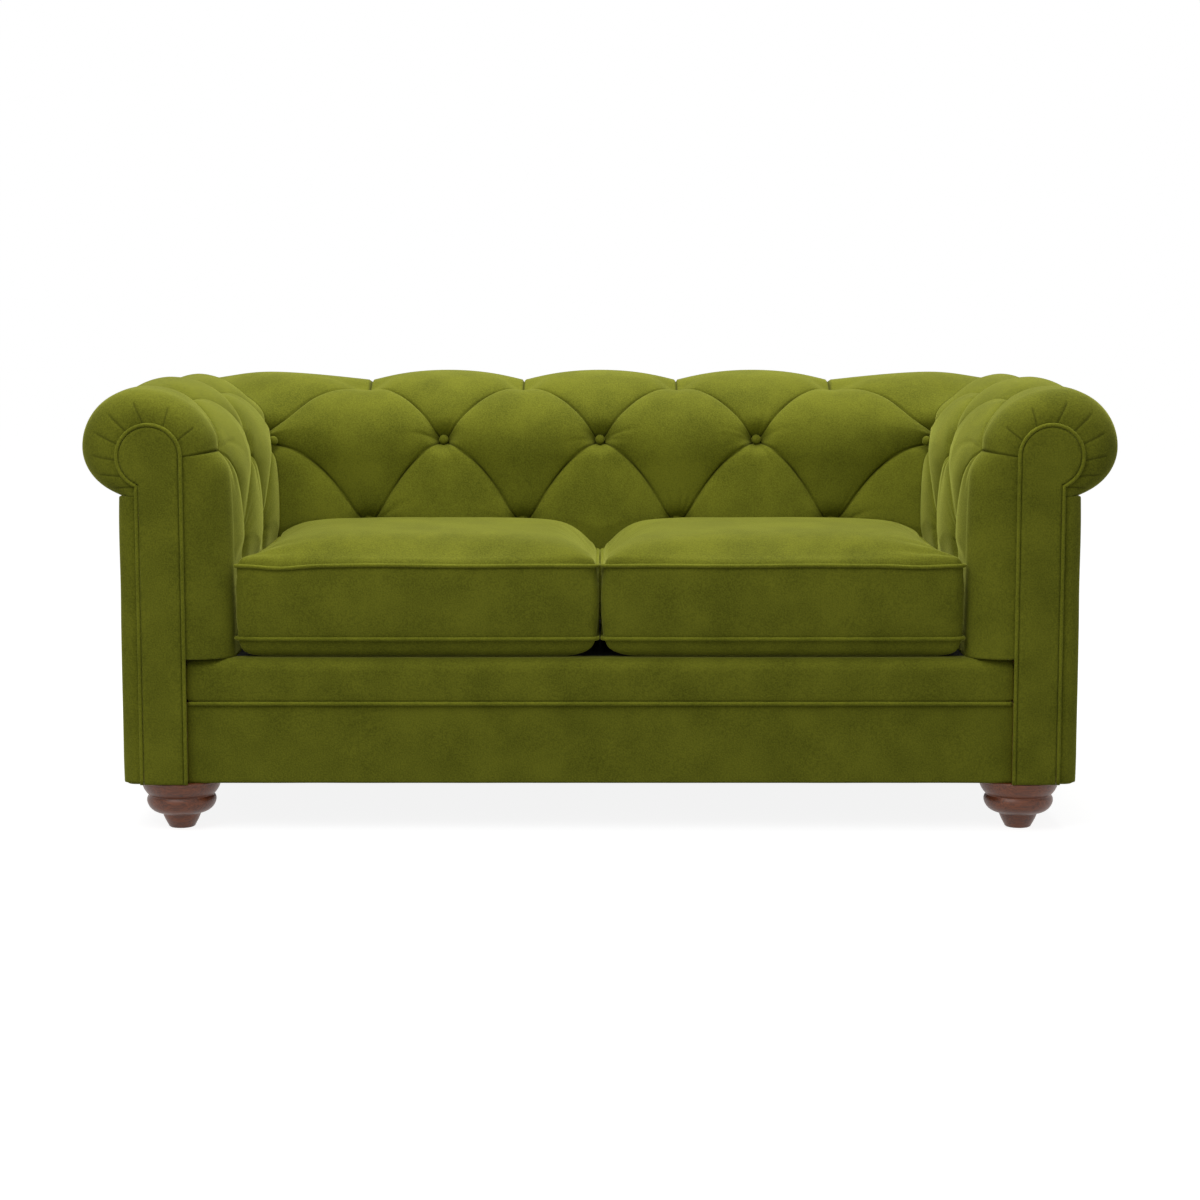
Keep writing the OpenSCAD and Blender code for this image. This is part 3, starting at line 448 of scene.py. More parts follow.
def tuftAt(p, q, pitch, isArm, seed):
    # how far the cover stands out of the plain section, and how much painted shade darkens it along the
    # creases and in the button pits
    lattice = np.clip(q, -1, 1)
    m, w = p + lattice / 2, p - lattice / 2
    scale = 1 / math.hypot(1 / pitch, 0.5 / rowPitch)
    upM, lowM = (np.floor(m) + 1 - m) * scale, (m - np.floor(m)) * scale
    upW, lowW = (w - np.floor(w)) * scale, (np.floor(w) + 1 - w) * scale
    full = leave(scale / 2, "upper") ** 2 * leave(scale / 2, "lower") ** 2
    pillow = np.clip(leave(upM, "upper") * leave(upW, "upper") * leave(lowM, "lower") * leave(lowW, "lower")
                     / full, 0, 1.05)
    near = np.minimum(np.minimum(upM, lowM), np.minimum(upW, lowW))
    fade = np.clip(1 + (q + 1) * rowPitch / wall["fadeHeight"], 0, 1)
    roll = np.where(q > qTop, np.clip(1 - (q - qTop), 0, 1) ** 0.8, 1)
    a, b = p - np.round(p), p - np.floor(p) - 0.5
    reach = wall["pullReach"]
    ring = lambda dp, dq, r: np.exp(-((dp * pitch) ** 2 + (dq * rowPitch) ** 2) / r ** 2)
    rise = np.ones_like(p)
    pullA = np.full_like(p, wall["buttonPull"])
    if isArm:
        rise = np.clip(np.abs(p) / 0.5, 0, 1)
        pullA = np.where(p < 0.25, wall["notchPull"] / 2, wall["buttonPull"])
    h = fade * roll * (wall["crest"] * pillow * rise - wall["crease"] * (1 - pillow))
    if isArm:
        low = smooth(-q / 0.4) * smooth((q + 1.15) / 0.2)
        h += wall["frontSwell"] * np.sin(np.pi * np.clip(p / 0.5, 0, 1)) * low
    fromMitre = (cornerP - np.abs(p)) * pitch
    h -= wall["mitre"] * bell(fromMitre, wall["mitreWidth"]) * smooth((q - 0.3) / 0.5) * roll
    h -= wall["groove"] * bell(near, wall["creaseWidth"]) * fade * np.clip(2.2 - (q - qTop) * 1.2, 0, 1)
    h -= pullA * ring(a, q, reach) + wall["buttonPull"] * ring(b, q + 1, reach)
    h -= wall["notchPull"] * ring(b, q - 1, 1.5 * reach)
    # tension wrinkles run out from each button
    calm = pillow ** 0.3 * (1 - bell(fromMitre, 70))
    rng = np.random.default_rng(seed)
    spots = [(k, 0.0) for k in range(-2, 3)] + [(k + 0.5, -1.0) for k in range(-2, 2)]
    for at, row in spots:
        dx, dy = (p - at) * pitch, (q - row) * rowPitch
        far = np.hypot(dx, dy)
        heading = np.arctan2(dy, dx)
        for _ in range(wall["wrinkles"]):
            way, deep = rng.uniform(-np.pi, np.pi), rng.uniform(*wall["wrinkleDeep"])
            wide, long = rng.uniform(*wall["wrinkleWide"]), rng.uniform(*wall["wrinkleLong"])
            off = np.angle(np.exp(1j * (heading - way)))
            h -= deep * bell(off, wide) * bell(far - 22, long) * (far > 6) * calm
    # painted shade: a thin dark line along each crease and a dark patch in each button pit
    fold = bell(near, wall["shadeLineWidth"]) * fade * np.clip(2.0 - (q - qTop) * 1.2, 0, 1)
    pitShade = np.maximum(ring(a, q, reach * 0.6) * (pullA > 20), ring(b, q + 1, reach * 0.6))
    return h, np.clip(0.9 * fold + 0.4 * pitShade, 0, 1)


def tuftedBack(p, q, h):
    # p counts buttons from the middle of the back
    share, reach, height, outAcross, outUp = sectionAt(q)
    below = wall["kneeHeight"] - height
    lean = (np.hypot(below, wall["kneeSoft"]) + below) / 2 * math.tan(math.radians(wall["backLean"]))
    return cornerY - lean + share * wall["backIn"] + reach + outAcross * h, height + outUp * h


def tuftedAcross(q, h):
    share, reach, height, outAcross, outUp = sectionAt(q)
    return armFace + share * wall["armIn"] + reach + outAcross * h, height + outUp * h


def latticeRows():
    # row places in lattice units, fine enough that a cell is about wall["cell"] high
    def span(a, b, length):
        n = max(2, round(length / wall["cell"]))
        return list(np.linspace(a, b, n, endpoint=False))
    lengths = [(qBottom, -1, rowPitch * (-1 - qBottom)), (-1, 0, rowPitch), (0, 1, rowPitch), (1, qTop, 62),
               (qTop, qRear, wall["rollRadius"] * math.pi / 2), (qRear, qEnd, wall["rollRadius"] * endAngle)]
    return np.array(sum((span(*part) for part in lengths), []) + [qEnd])


def latticeFaces(columns, rows, place):
    # triangles whose diagonals follow the creases
    j, i = np.meshgrid(np.arange(columns - 1), np.arange(len(rows) - 1), indexing="ij")
    p = (place[j] + place[j + 1]) / 2
    q = np.clip((rows[i] + rows[i + 1]) / 2, -1, 1)
    m, w = p + q / 2, p - q / 2
    rises = np.abs(w - np.round(w)) < np.abs(m - np.round(m))
    n = len(rows)
    a, b, c, d = j * n + i, (j + 1) * n + i, (j + 1) * n + i + 1, j * n + i + 1
    one = np.where(rises[..., None], np.stack([a, b, c], -1), np.stack([a, b, d], -1))
    two = np.where(rises[..., None], np.stack([a, c, d], -1), np.stack([b, c, d], -1))
    return [tuple(f) for f in np.concatenate([one.reshape(-1, 3), two.reshape(-1, 3)]).tolist()]


def mitreAt(q):
    # how far the cover stands out along the seam between the back and an arm
    return tuftAt(np.full_like(q, cornerP), q, wall["backPitch"], False, wall["backSeed"])[0]


def closeWall(points, faces, columns, rows, inner):
    # an inner lining of a few columns and two flat edges make the pad a closed body
    n = len(rows)
    base = columns * n
    ins = len(inner)
    allPoints = np.concatenate([points] + list(inner))
    for j in range(ins - 1):
        for i in range(n - 1):
            a = base + j * n + i
            faces.append((a, a + 1, a + n + 1, a + n))
    for i in range(n - 1):
        faces.append((i, i + 1, base + i + 1, base + i))
        a, b = (columns - 1) * n + i, base + (ins - 1) * n + i
        faces.append((a, b, b + 1, a + 1))
    bottom = [j * n for j in range(columns)] + [base + j * n for j in range(ins - 1, -1, -1)]
    top = [j * n + n - 1 for j in range(columns)] + [base + j * n + n - 1 for j in range(ins - 1, -1, -1)]
    faces.append(tuple(reversed(bottom)))
    faces.append(tuple(top))
    return allPoints, faces


def liningAt(rows, x, y, endX, endY):
    # the space behind the stuffing: up the wall, flat over the top rail and down to the outside panel
    share, reach, height = sectionAt(rows)[:3]
    ceiling = padEnd - 20
    flat = np.clip((rows - rows[np.searchsorted(height[rows < qTop], ceiling)]) / (qEnd - 0.3), 0, 1)
    z = np.minimum(height, ceiling)
    z[-1] = padEnd
    return np.stack([mix(x, endX, flat), mix(y, endY, flat), z], -1)


rows = latticeRows()
liningLean = np.maximum(0, wall["kneeHeight"] - np.minimum(sectionAt(rows)[2], wall["liningLow"])) * math.tan(
    math.radians(wall["backLean"]))
print("rows in the wall's section:", len(rows))


def makeBackPad():
    half = round(wall["backPitch"] / 2 / wall["cell"])
    place = np.linspace(-cornerP, cornerP, 8 * half + 1)
    p, q = np.meshgrid(place, rows, indexing="ij")
    h, fold = tuftAt(p, q, wall["backPitch"], False, wall["backSeed"])
    edge = mitreAt(rows)
    bowed = q + bowAt(p, q)
    y, z = tuftedBack(p, bowed, h)
    m, _ = tuftedAcross(rows, edge)
    k = np.minimum(1, m / armFace)[None, :]
    s = np.abs(p)
    straight = wall["backPitch"] * k
    x = np.where(s <= straightP, s * straight,
                 mix(straightP * straight, m[None, :], (s - straightP) / (cornerP - straightP)))
    points = np.stack([np.sign(p) * x, y, z], -1).reshape(-1, 3)
    faces = latticeFaces(len(place), rows, place)
    behind = cornerY + wall["padThick"] - liningLean
    inner = [liningAt(rows, side * (armFace + wall["padThick"]), behind, side * wall["liningSide"],
                      wall["liningRear"]) for side in (-1, 1)]
    points, faces = closeWall(points, faces, len(place), rows, inner)
    folds = np.concatenate([fold.ravel(), np.zeros(len(points) - fold.size)])
    addPiece("inside_back", points, faces, "velvet", replaces=["inside_back_pad"], folds=folds, padded=0.8)


makeBackPad()
print("inside back made")


def outlineFor(q, off):
    # the keyhole line round a facing at each row, off millimetres outside it
    r, headZ = facing["radius"] + off, facing["headZ"]
    neck = math.acos((facingOut + off - facingMid) / r)
    low = q < 0
    turn = np.where(q <= qTop, (np.minimum(angleA + (anglePleat - angleA) * q, math.pi / 2) - angleA)
                    / (math.pi / 2 - angleA) * math.pi / 2, math.pi / 2)
    out = np.where(q <= qRear, math.pi / 2 * (qRear - q), 0)
    under = np.clip((q - qRear) / (qEnd - qRear), 0, 1)
    s = neck * np.clip(under / 0.8, 0, 1)
    tail = np.clip((under - 0.8) / 0.2, 0, 1)
    angle = np.where(q <= qTop, math.pi - turn, np.where(q <= qRear, out, -s))
    x, z = facingMid + r * np.cos(angle), headZ + r * np.sin(angle)
    x = np.where(low, facingIn - off, mix(x, facingOut + off, tail))
    z = np.where(low, np.minimum(wall["rowA"] + q * rowPitch, headZ), mix(z, padEnd, tail))
    return x, z


facing = {
    "width": 70, "radius": 51.5, "headZ": 661, "pipe": 7,
    "pleats": (0, 29, 63, 99, 131, 158, 186, 214, 241),     # degrees round the head
}
facingIn = -facingHigh[0]
facingMid = facingIn + facing["radius"]
facingOut = facingIn + facing["width"]


def pleatRows():
    # the rows at which the gathers round the facing's head lie
    x, z = outlineFor(rows, facing["pipe"])
    angle = np.degrees(np.arctan2(z - facing["headZ"], facingMid - x)) % 360
    angle = np.where((rows < 0) | (angle > 300), -20, angle)
    return [int(np.argmin(np.abs(angle - a))) for a in facing["pleats"]]


def makeArmPads():
    half = round(armPitch / 2 / wall["cell"])
    body = np.linspace(0, cornerP, 4 * half + 1)
    p, q = np.meshgrid(body, rows, indexing="ij")
    h, fold = tuftAt(p, q, armPitch, True, wall["armSeed"])
    edge = mitreAt(rows)
    place = q + bowAt(p, q) + frontRise(p, q)
    x, z = tuftedAcross(place, h)
    m, _ = tuftedBack(rows * 0, rows, edge)
    k = np.minimum(1, (m - bandY) / (cornerY - bandY))[None, :]
    straight = bandY + np.minimum(p, straightP) * armPitch * k
    y = np.where(p <= straightP, straight,
                 mix(straight, m[None, :] - 0.45, (p - straightP) / (cornerP - straightP)))
    turns = 24
    share = 1 - np.cos(np.linspace(0, np.pi / 2, turns, endpoint=False))
    lipX, lipZ = outlineFor(rows, facing["pipe"] + 0.8)
    s = share[:, None]
    rise = np.sqrt(1 - (1 - s) ** 2)
    bandX, bandZ = mix(lipX[None, :], x[0][None, :], rise), mix(lipZ[None, :], z[0][None, :], rise)
    bandYs = lipY + wall["frontRoll"] * s + 0 * bandX
    # the gathers: thin folds that run out from the piping, with the cover swelling between them
    dips = np.zeros_like(bandX)
    # painted shade marks each gather, for the velvet to darken by
    gatherShade = np.zeros_like(bandX)
    gathers = pleatRows()
    index = np.arange(len(rows))
    for n, row in enumerate(gathers):
        longFor = 1.0 if n == 0 else 0.7
        run = 1 - smooth((rise - longFor + 0.18) / 0.18) if n else np.ones_like(rise)
        near = bell(index - row, 0.8)[None, :]
        dips += (2.8 if n == 0 else 1.4) * near * run
        gatherShade += near * run
    wave = np.zeros(len(rows))
    for a, b in zip(gathers[:-1], gathers[1:]):
        t = (index - a) / (b - a)
        wave += np.where((t > 0) & (t < 1), np.sin(np.pi * np.clip(t, 0, 1)) ** 0.7, 0)
    swell = 0.9 * wave[None, :] * np.sin(np.pi * np.clip(rise, 0, 1))
    frontShare = 1 - s
    bandYs = bandYs + (dips - swell) * frontShare
    outX, outZ = x[0] - lipX, z[0] - lipZ
    size = np.hypot(outX, outZ) + 1e-6
    bandX = bandX - dips * (outX / size)[None, :] * rise
    bandZ = bandZ - dips * (outZ / size)[None, :] * rise
    grid = np.concatenate([np.stack([-bandX, bandYs, bandZ], -1), np.stack([-x, y, z], -1)])
    columns = len(grid)
    places = np.concatenate([share - 1, body])
    faces = latticeFaces(columns, rows, places)
    lining = []
    lx, lz = outlineFor(rows, 1.5)
    boardBack = boxOf("left_scroll_board")[1][1]
    for yy in (lipY, boardBack + 0.3):
        lining.append(np.stack([-lx, np.full_like(lx, yy), lz], -1))
    behind = cornerY + wall["padThick"] - liningLean - 0.45
    for wallY, endY in ((boardBack + 0.6, boardBack + 0.6), (behind, wall["liningRear"] - 0.5)):
        lining.append(liningAt(rows, -(armFace + wall["padThick"]), wallY, -wall["liningSide"], endY))
    points, faces = closeWall(grid.reshape(-1, 3), faces, columns, rows, lining)
    # painted shade: half strength along the gathers round the facing, then the tufts' crease and pit shade
    folds = np.concatenate([0.5 * gatherShade.ravel(), fold.ravel(), np.zeros(len(points) - grid.size // 3)])
    bySide("left_arm_inside", points, faces, slot="velvet", replaces=["left_arm_pad"],
           folds=np.clip(folds, 0, 1), padded=0.8)


makeArmPads()
print("arm insides made")


# Panels, piping and turned work

def spread(length, cell):
    # places from 0 to length, closer together near both ends
    edge = np.array((0, 0.6, 1.6, 3.2, 5.5, 9, 14))
    inner = np.linspace(edge[-1], length - edge[-1], max(2, round((length - 2 * edge[-1]) / cell)))
    return np.concatenate([edge[:-1], inner, length - edge[:-1][::-1]])


def shell(outer, inner):
    # two grids of the same size, joined along their rims, make a closed panel
    nu, nv = outer.shape[:2]
    count = nu * nv
    at = lambda i, j, side: side * count + i * nv + j
    faces = []
    for i in range(nu - 1):
        for j in range(nv - 1):
            faces.append((at(i, j, 0), at(i + 1, j, 0), at(i + 1, j + 1, 0), at(i, j + 1, 0)))
            faces.append((at(i, j, 1), at(i, j + 1, 1), at(i + 1, j + 1, 1), at(i + 1, j, 1)))
    rim = ([(i, 0) for i in range(nu)] + [(nu - 1, j) for j in range(1, nv)]
           + [(i, nv - 1) for i in range(nu - 2, -1, -1)] + [(0, j) for j in range(nv - 2, 0, -1)])
    for a, b in zip(rim, rim[1:] + rim[:1]):
        faces.append((at(*b, 0), at(*a, 0), at(*a, 1), at(*b, 1)))
    return np.concatenate([outer.reshape(-1, 3), inner.reshape(-1, 3)]), faces


def ripple(points, size, height, seed=0.0):
    # slow unevenness of stuffed cloth, in millimetres
    places = [Vector((x / size + seed, y / size, z / size)) for x, y, z in np.reshape(points, (-1, 3))]
    return np.array([noise.noise(place) for place in places]).reshape(np.shape(points)[:-1]) * height


def tube(path, radius, normal, closed=False, sides=14):
    # piping along a path that lies near a plane
    path = np.asarray(path, float)
    n = len(path)
    ahead = np.roll(path, -1, 0) - np.roll(path, 1, 0)
    if not closed:
        ahead[0], ahead[-1] = path[1] - path[0], path[-1] - path[-2]
    ahead /= np.linalg.norm(ahead, axis=1)[:, None]
    normal = np.asarray(normal, float)
    sideways = np.cross(ahead, normal)
    sideways /= np.linalg.norm(sideways, axis=1)[:, None]
    upward = np.cross(sideways, ahead)
    turn = np.linspace(0, math.tau, sides, endpoint=False)
    swell = 1 + ripple(path, 22, 0.06)
    ring = sideways[:, None] * np.cos(turn)[:, None] + upward[:, None] * np.sin(turn)[:, None]
    points = path[:, None] + ring * (radius * swell)[:, None, None]
    faces = []
    for i in range(n if closed else n - 1):
        a, b = i * sides, (i + 1) % n * sides
        for k in range(sides):
            m = (k + 1) % sides
            faces.append((a + k, a + m, b + m, b + k))
    if not closed:
        faces.append(tuple(range(sides - 1, -1, -1)))
        faces.append(tuple((n - 1) * sides + k for k in range(sides)))
    return points.reshape(-1, 3), faces


def lathe(profile, sides=96):
    # a turned body from (radius, height) pairs that start and end on the axis
    rings = [p for p in profile if p[0] > 0]
    turn = np.linspace(0, math.tau, sides, endpoint=False)
    points = [(r * math.cos(a), r * math.sin(a), z) for r, z in rings for a in turn]
    faces = []
    for i in range(len(rings) - 1):
        for k in range(sides):
            m = (k + 1) % sides
            faces.append((i * sides + k, i * sides + m, (i + 1) * sides + m, (i + 1) * sides + k))
    faces.append(tuple(range(sides - 1, -1, -1)))
    faces.append(tuple((len(rings) - 1) * sides + k for k in range(sides)))
    return np.array(points), faces


def faceDown(depth, reach):
    # a rounded edge: how far a padded face falls back this close to its edge
    return reach - np.sqrt(np.clip(reach ** 2 - (reach - np.clip(depth, 0, reach)) ** 2, 0, None))


def fromEdge(x, z, low, high, tuck=0):
    # how far a place on an upright panel is from the panel's nearest edge
    return np.minimum(np.minimum(x - low[0], high[0] - x) + tuck, np.minimum(z - low[-1], high[-1] - z))


def flatPanel(name, node, cells, swell, rough, facesRear=False, tuck=0, edge=3):
    # a stuffed upright panel that fills its CAD node's box and swells a little
    low, high = boxOf(node)
    across = spread(high[0] - low[0] + 2 * tuck, cells[0]) + low[0] - tuck
    up = spread(high[2] - low[2], cells[1]) + low[2]
    x, z = np.meshgrid(across, up, indexing="ij")
    near = fromEdge(x, z, low, high, tuck + 2 if tuck else 0)
    out, outerY, innerY = (1, high[1], low[1]) if facesRear else (-1, low[1], high[1])
    y = outerY + out * (swell[0] * (1 - np.exp(-near / swell[1])) - faceDown(near, edge))
    y = y + ripple(np.stack([x, y, z], -1), *rough)
    points, faces = shell(np.stack([x, y, z], -1), np.stack([x, np.full_like(x, innerY), z], -1))
    addPiece(name, points, flipped(faces) if facesRear else faces, "velvet", replaces=[node], padded=1.0)


# Arm fronts

footTop = boxOf("front_left_foot")[1][2]


def makeFacings():
    upright = spread(facing["headZ"] - footTop, 12)[:-6] + footTop
    head = facing["headZ"] + facing["radius"] * np.sin(np.radians(np.linspace(0, 86, 26)))
    neck = np.linspace(facing["headZ"] - 52, facing["headZ"], 12, endpoint=False)
    heights = np.concatenate([upright[upright < neck[0] - 3], neck, head])
    share = spread(facing["width"], 5) / facing["width"]
    s, z = np.meshgrid(share, heights, indexing="ij")
    half = np.sqrt(np.clip(facing["radius"] ** 2 - (z - facing["headZ"]) ** 2, 0, None))
    left = np.where(z > facing["headZ"], facingMid - half, facingIn)
    right = np.where(z > facing["headZ"], facingMid + half, np.maximum(facingOut, facingMid + half))
    x = mix(left, right, s)
    inUpright = fromEdge(x, z, (facingIn, footTop), (facingOut, facing["headZ"]))
    inHead = facing["radius"] - np.hypot(x - facingMid, z - facing["headZ"])
    depth = np.maximum(inUpright, inHead)
    y = frontY - 0.8 + faceDown(depth, 4.5) + 1.8 * np.exp(-depth / 12)
    outer = np.stack([-x, y, z], -1)
    outer[..., 1] += ripple(outer, 55, 0.9)
    inner = np.stack([-x, np.full_like(x, lipY - 0.2), z], -1)
    points, faces = shell(outer, inner)
    bySide("left_facing", points, flipped(faces), slot="velvet", replaces=["left_arm_facing"], padded=0.9)
    # the piping goes up the inner side, round the head and down the outer side
    off = facing["pipe"] / 2
    ring = facing["radius"] + off
    neckAngle = math.acos((facingOut + off - facingMid) / ring)
    turn = np.linspace(math.pi, -neckAngle, 90)
    path = [(facingIn - off, z) for z in np.linspace(footTop + 0.5, facing["headZ"], 60, endpoint=False)]
    path += [(facingMid + ring * math.cos(a), facing["headZ"] + ring * math.sin(a)) for a in turn]
    low = path[-1][1]
    path += [(facingOut + off, z) for z in np.linspace(low, footTop + 0.5, 56)[1:]]
    path = [(-x, frontY + off + 0.3, z) for x, z in path]
    points, faces = tube(path, off - 0.1, (0, 1, 0))
    bySide("left_facing_cord", points, faces, slot="velvet_piping", replaces=["left_facing_piping"])


makeFacings()


def makeOutside():
    # the cover of each arm's outer side turns in round the front edge to the facing
    panel = {"radius": 24, "thick": 6, "taper": 6}
    side, rear = -panelLow[0], panelHigh[1]
    front = panelLow[1]
    endX = facingOut + facing["pipe"] + 0.3
    along = spread(rear - front - panel["radius"], 16)[::-1]
    straight = [(side, front + panel["radius"] + a, 1, 0) for a in along[:-1]]
    bend = [(side - panel["radius"] * (1 - math.cos(a)), front + panel["radius"] * (1 - math.sin(a)),
             math.cos(a), math.sin(a)) for a in np.linspace(0, math.pi / 2, 15)]
    tail = [(x, front, 0, 1) for x in np.linspace(side - panel["radius"], endX, 5)[1:]]
    path = np.array(straight + bend + tail)
    heights = spread(panelHigh[2] - footTop, 16) + footTop
    n, m = len(path), len(heights)
    x, y, outX, outY = [np.repeat(path[:, k][:, None], m, 1) for k in range(4)]
    z = np.repeat(heights[None, :], n, 0)
    length = np.concatenate([[0], np.cumsum(np.hypot(np.diff(path[:, 0]), np.diff(path[:, 1])))])[:, None]
    near = np.minimum(np.minimum(z - footTop, panelHigh[2] - z), np.minimum(length, length[-1] - length + 2))
    bulge = 1.2 * (1 - np.exp(-near / 40)) - faceDown(near, 3)
    flat = np.stack([-x, y, z], -1)
    bulge = bulge + ripple(flat, 120, 1.4, 3.0)
    frontShare = np.clip((front + panel["radius"] - y) / panel["radius"], 0, 1)
    taper = panel["taper"] * smooth((250 - z) / 160) * frontShare
    outer = np.stack([-(x + outX * bulge) + taper, y - outY * bulge * 0.3, z], -1)
    outer[..., 2] += 4 * frontShare * smooth((footTop + 20 - z) / 20)
    inner = np.stack([-(x - outX * panel["thick"]), y + outY * panel["thick"], z], -1)
    points, faces = shell(outer, inner)
    bySide("left_outside", points, faces, slot="velvet", replaces=["left_outside_arm_panel"], padded=1.0)

    flatPanel("outside_back", "outside_back_panel", (24, 20), (1.2, 50), (140, 1.6, 5.0), facesRear=True)


makeOutside()
print("facings and outside panels made")


def makeFront():
    low, high = boxOf("front_border")
    # the border's section: up the front, round the top edge and back over the rail
    edge = 20
    heights = np.concatenate([[0, 1, 2.5, 4.5, 7], np.linspace(11, high[2] - low[2] - edge, 9)]) + low[2]
    up = [(low[1], z) for z in heights]
    bend = [(low[1] + edge * (1 - math.cos(a)), high[2] - edge * (1 - math.sin(a)))
            for a in np.linspace(0, math.pi / 2, 12)[1:]]
    back = [(y, high[2]) for y in np.linspace(low[1] + edge, high[1], 5)[1:]]
    section = np.array(up + bend + back)
    tuck = 2.6      # both ends run in under the facings' piping
    across = spread(high[0] - low[0] + 2 * tuck, 12) + low[0] - tuck
    n, m = len(across), len(section)
    x = np.repeat(across[:, None], m, 1)
    y = np.repeat(section[:, 0][None, :], n, 0)
    z = np.repeat(section[:, 1][None, :], n, 0)
    end = np.minimum(x - low[0], high[0] - x) + tuck
    near = np.minimum(end + 2, z - low[2])
    front = np.clip((high[2] - z) / edge, 0, 1)
    belly = 2.0 * np.sin(np.pi * np.clip((z - low[2]) / (high[2] - low[2]), 0, 1)) * (1 - np.exp(-end / 20))
    y = y + front * (faceDown(near, 6) - belly)
    z = z - faceDown(end, 7) * (1 - front) + 6 * (1 - np.clip((z - low[2]) / 14, 0, 1)) * np.exp(-end / 7)
    flat = np.stack([x, y, z], -1)
    y = y + front * ripple(flat, 45, 1.3, 7.0)
    innerZ = np.repeat(np.linspace(low[2] + 0.2, high[2] - 0.2, m)[None, :], n, 0)
    inner = np.stack([x, np.full_like(x, high[1]), np.minimum(innerZ, z)], -1)
    points, faces = shell(np.stack([x, y, z], -1), inner)
    addPiece("padded_border", points, faces, "velvet", replaces=["front_border"], padded=0.9)

    flatPanel("rail_cover", "front_rail_cover", (14, 10), (0.8, 30), (90, 1.3, 9.0), tuck=tuck, edge=5)

    low, high = boxOf("border_welt")
    middle = (low + high) / 2
    path = [(x, middle[1], middle[2]) for x in np.linspace(low[0], high[0], 240)]
    points, faces = tube(path, (high[2] - low[2]) / 2, (0, 0, 1))
    addPiece("border_cord", points, faces, "velvet_piping", replaces=["border_welt"])


makeFront()


def makeFeet():
    # a beaded plate over a ball and a plain tapered toe
    toe = [(0, 0), (18, 0), (20, 0.4), (21.6, 1.6), (22.2, 3), (24.5, 7.5), (28.2, 15), (30.6, 21),
           (31.6, 24.3)]
    ball = [(32.2, 25.6), (34.5, 26.4), (38.5, 27.4), (42.9, 29), (47, 31.3), (50.3, 34), (53.2, 37.4),
            (55.2, 41), (56.6, 44.6), (57.4, 48), (57.5, 50.5), (57.1, 53.2), (56.2, 55.6), (55, 57.6)]
    plate = [(54.3, 58.8), (54.3, 59.6), (55.4, 60.6), (58.2, 64), (60.8, 68), (62.8, 72), (64.2, 76),
             (65.2, 79.6), (65.9, 81.6), (65.7, 82.5), (66.4, 83.2), (66.8, 84.8), (66.6, 86.2)]
    profile = toe + ball + plate + [(65.8, footTop), (0, footTop)]
    points, faces = lathe(profile)
    for name in ("front_left_foot", "front_right_foot", "rear_left_foot", "rear_right_foot"):
        low, high = boxOf(name)
        wide = (high[0] - low[0]) / 2 / points[:, 0].max()
        shift = np.array([(low[0] + high[0]) / 2, (low[1] + high[1]) / 2, 0])
        addPiece(name.replace("foot", "bun"), points * (wide, wide, 1) + shift, faces, "walnut_stain",
                 replaces=[name])


makeFeet()
print("front, welt and feet made")


# Covered buttons

button = {"diameter": 19, "dome": 6, "shank": 11, "room": 3.5, "tightRoom": 5.4, "cornerOut": 1.22}


def makeButtons():
    r = button["diameter"] / 2
    back = button["shank"]
    dome = [(r * math.cos(a), back + button["dome"] * math.sin(a)) for a in np.linspace(0, 1.5, 12)]
    profile = [(0, 0), (2, 0), (2, back - 2.2), (r - 2.6, back - 1.7), (r - 0.8, back - 1.2),
               (r - 0.1, back - 0.5)] + dome + [(0, 0)]
    points, faces = lathe(profile, 28)
    deep = -wall["crease"] - wall["buttonPull"]

    def seated(middle, ahead, room):
        # the button looks along ahead, from a place at the bottom of its pit
        ahead = np.array(ahead) / np.linalg.norm(ahead)
        turn = Vector(ahead).to_track_quat("Z", "Y").to_matrix()
        return np.array([turn @ Vector(p) for p in points]) + np.array(middle) + room * ahead

    def joined(parts):
        every = [(tuple(i + k * len(points) for i in f)) for k in range(len(parts)) for f in faces]
        return np.concatenate(parts), every

    rowA, rowB = np.array([0.0]), np.array([-1.0])
    placed = []
    for row, spots in ((rowA, (-1, 0, 1)), (rowB, (-1.5, -0.5, 0.5, 1.5))):
        y, z = tuftedBack(row + bowAt(0 * row, row), row, deep)
        outAcross, outUp = sectionAt(row)[3:]
        lean = 0 if row[0] == 0 else math.tan(math.radians(wall["backLean"]))
        ahead = (0, outAcross[0], outUp[0] + lean)
        k = min(1, tuftedAcross(row, mitreAt(row))[0][0] / armFace)
        placed += [seated((p * wall["backPitch"] * k, y[0], z[0]), ahead, button["room"]) for p in spots]
    y, z = tuftedBack(rowA, rowA, deep)
    x, _ = tuftedAcross(rowA, deep)
    tilt = math.acos(-sectionAt(rowA)[3][0])
    out = button["cornerOut"] * -deep / math.sqrt(2)
    for turn in (-1, 1):
        corner = (turn * (x[0] - out), y[0] - out, z[0])
        ahead = (-turn * math.cos(tilt) / math.sqrt(2), -math.cos(tilt) / math.sqrt(2), math.sin(tilt))
        placed.append(seated(corner, ahead, 0))
    every, everyFace = joined(placed)
    addPiece("back_button_set", every, everyFace, "velvet_buttons", replaces=["back_buttons"])
    placed = []
    room, tightRoom = button["room"], button["tightRoom"]
    for p, row, room in ((1, rowA, tightRoom), (0.5, rowB, room), (1.5, rowB, room)):
        x, z = tuftedAcross(row + bowAt(0 * row, row), deep)
        outAcross, outUp = sectionAt(row)[3:]
        m, _ = tuftedBack(row, row, deep if row[0] == 0 else mitreAt(row))
        k = min(1, (m[0] - bandY) / (cornerY - bandY))
        placed.append(seated((-x[0], bandY + p * armPitch * k, z[0]), (-outAcross[0], 0, outUp[0]), room))
    every, everyFace = joined(placed)
    bySide("left_button_set", every, everyFace, slot="velvet_buttons", replaces=["left_arm_buttons"])


makeButtons()
print("buttons made")


# Seat cushions

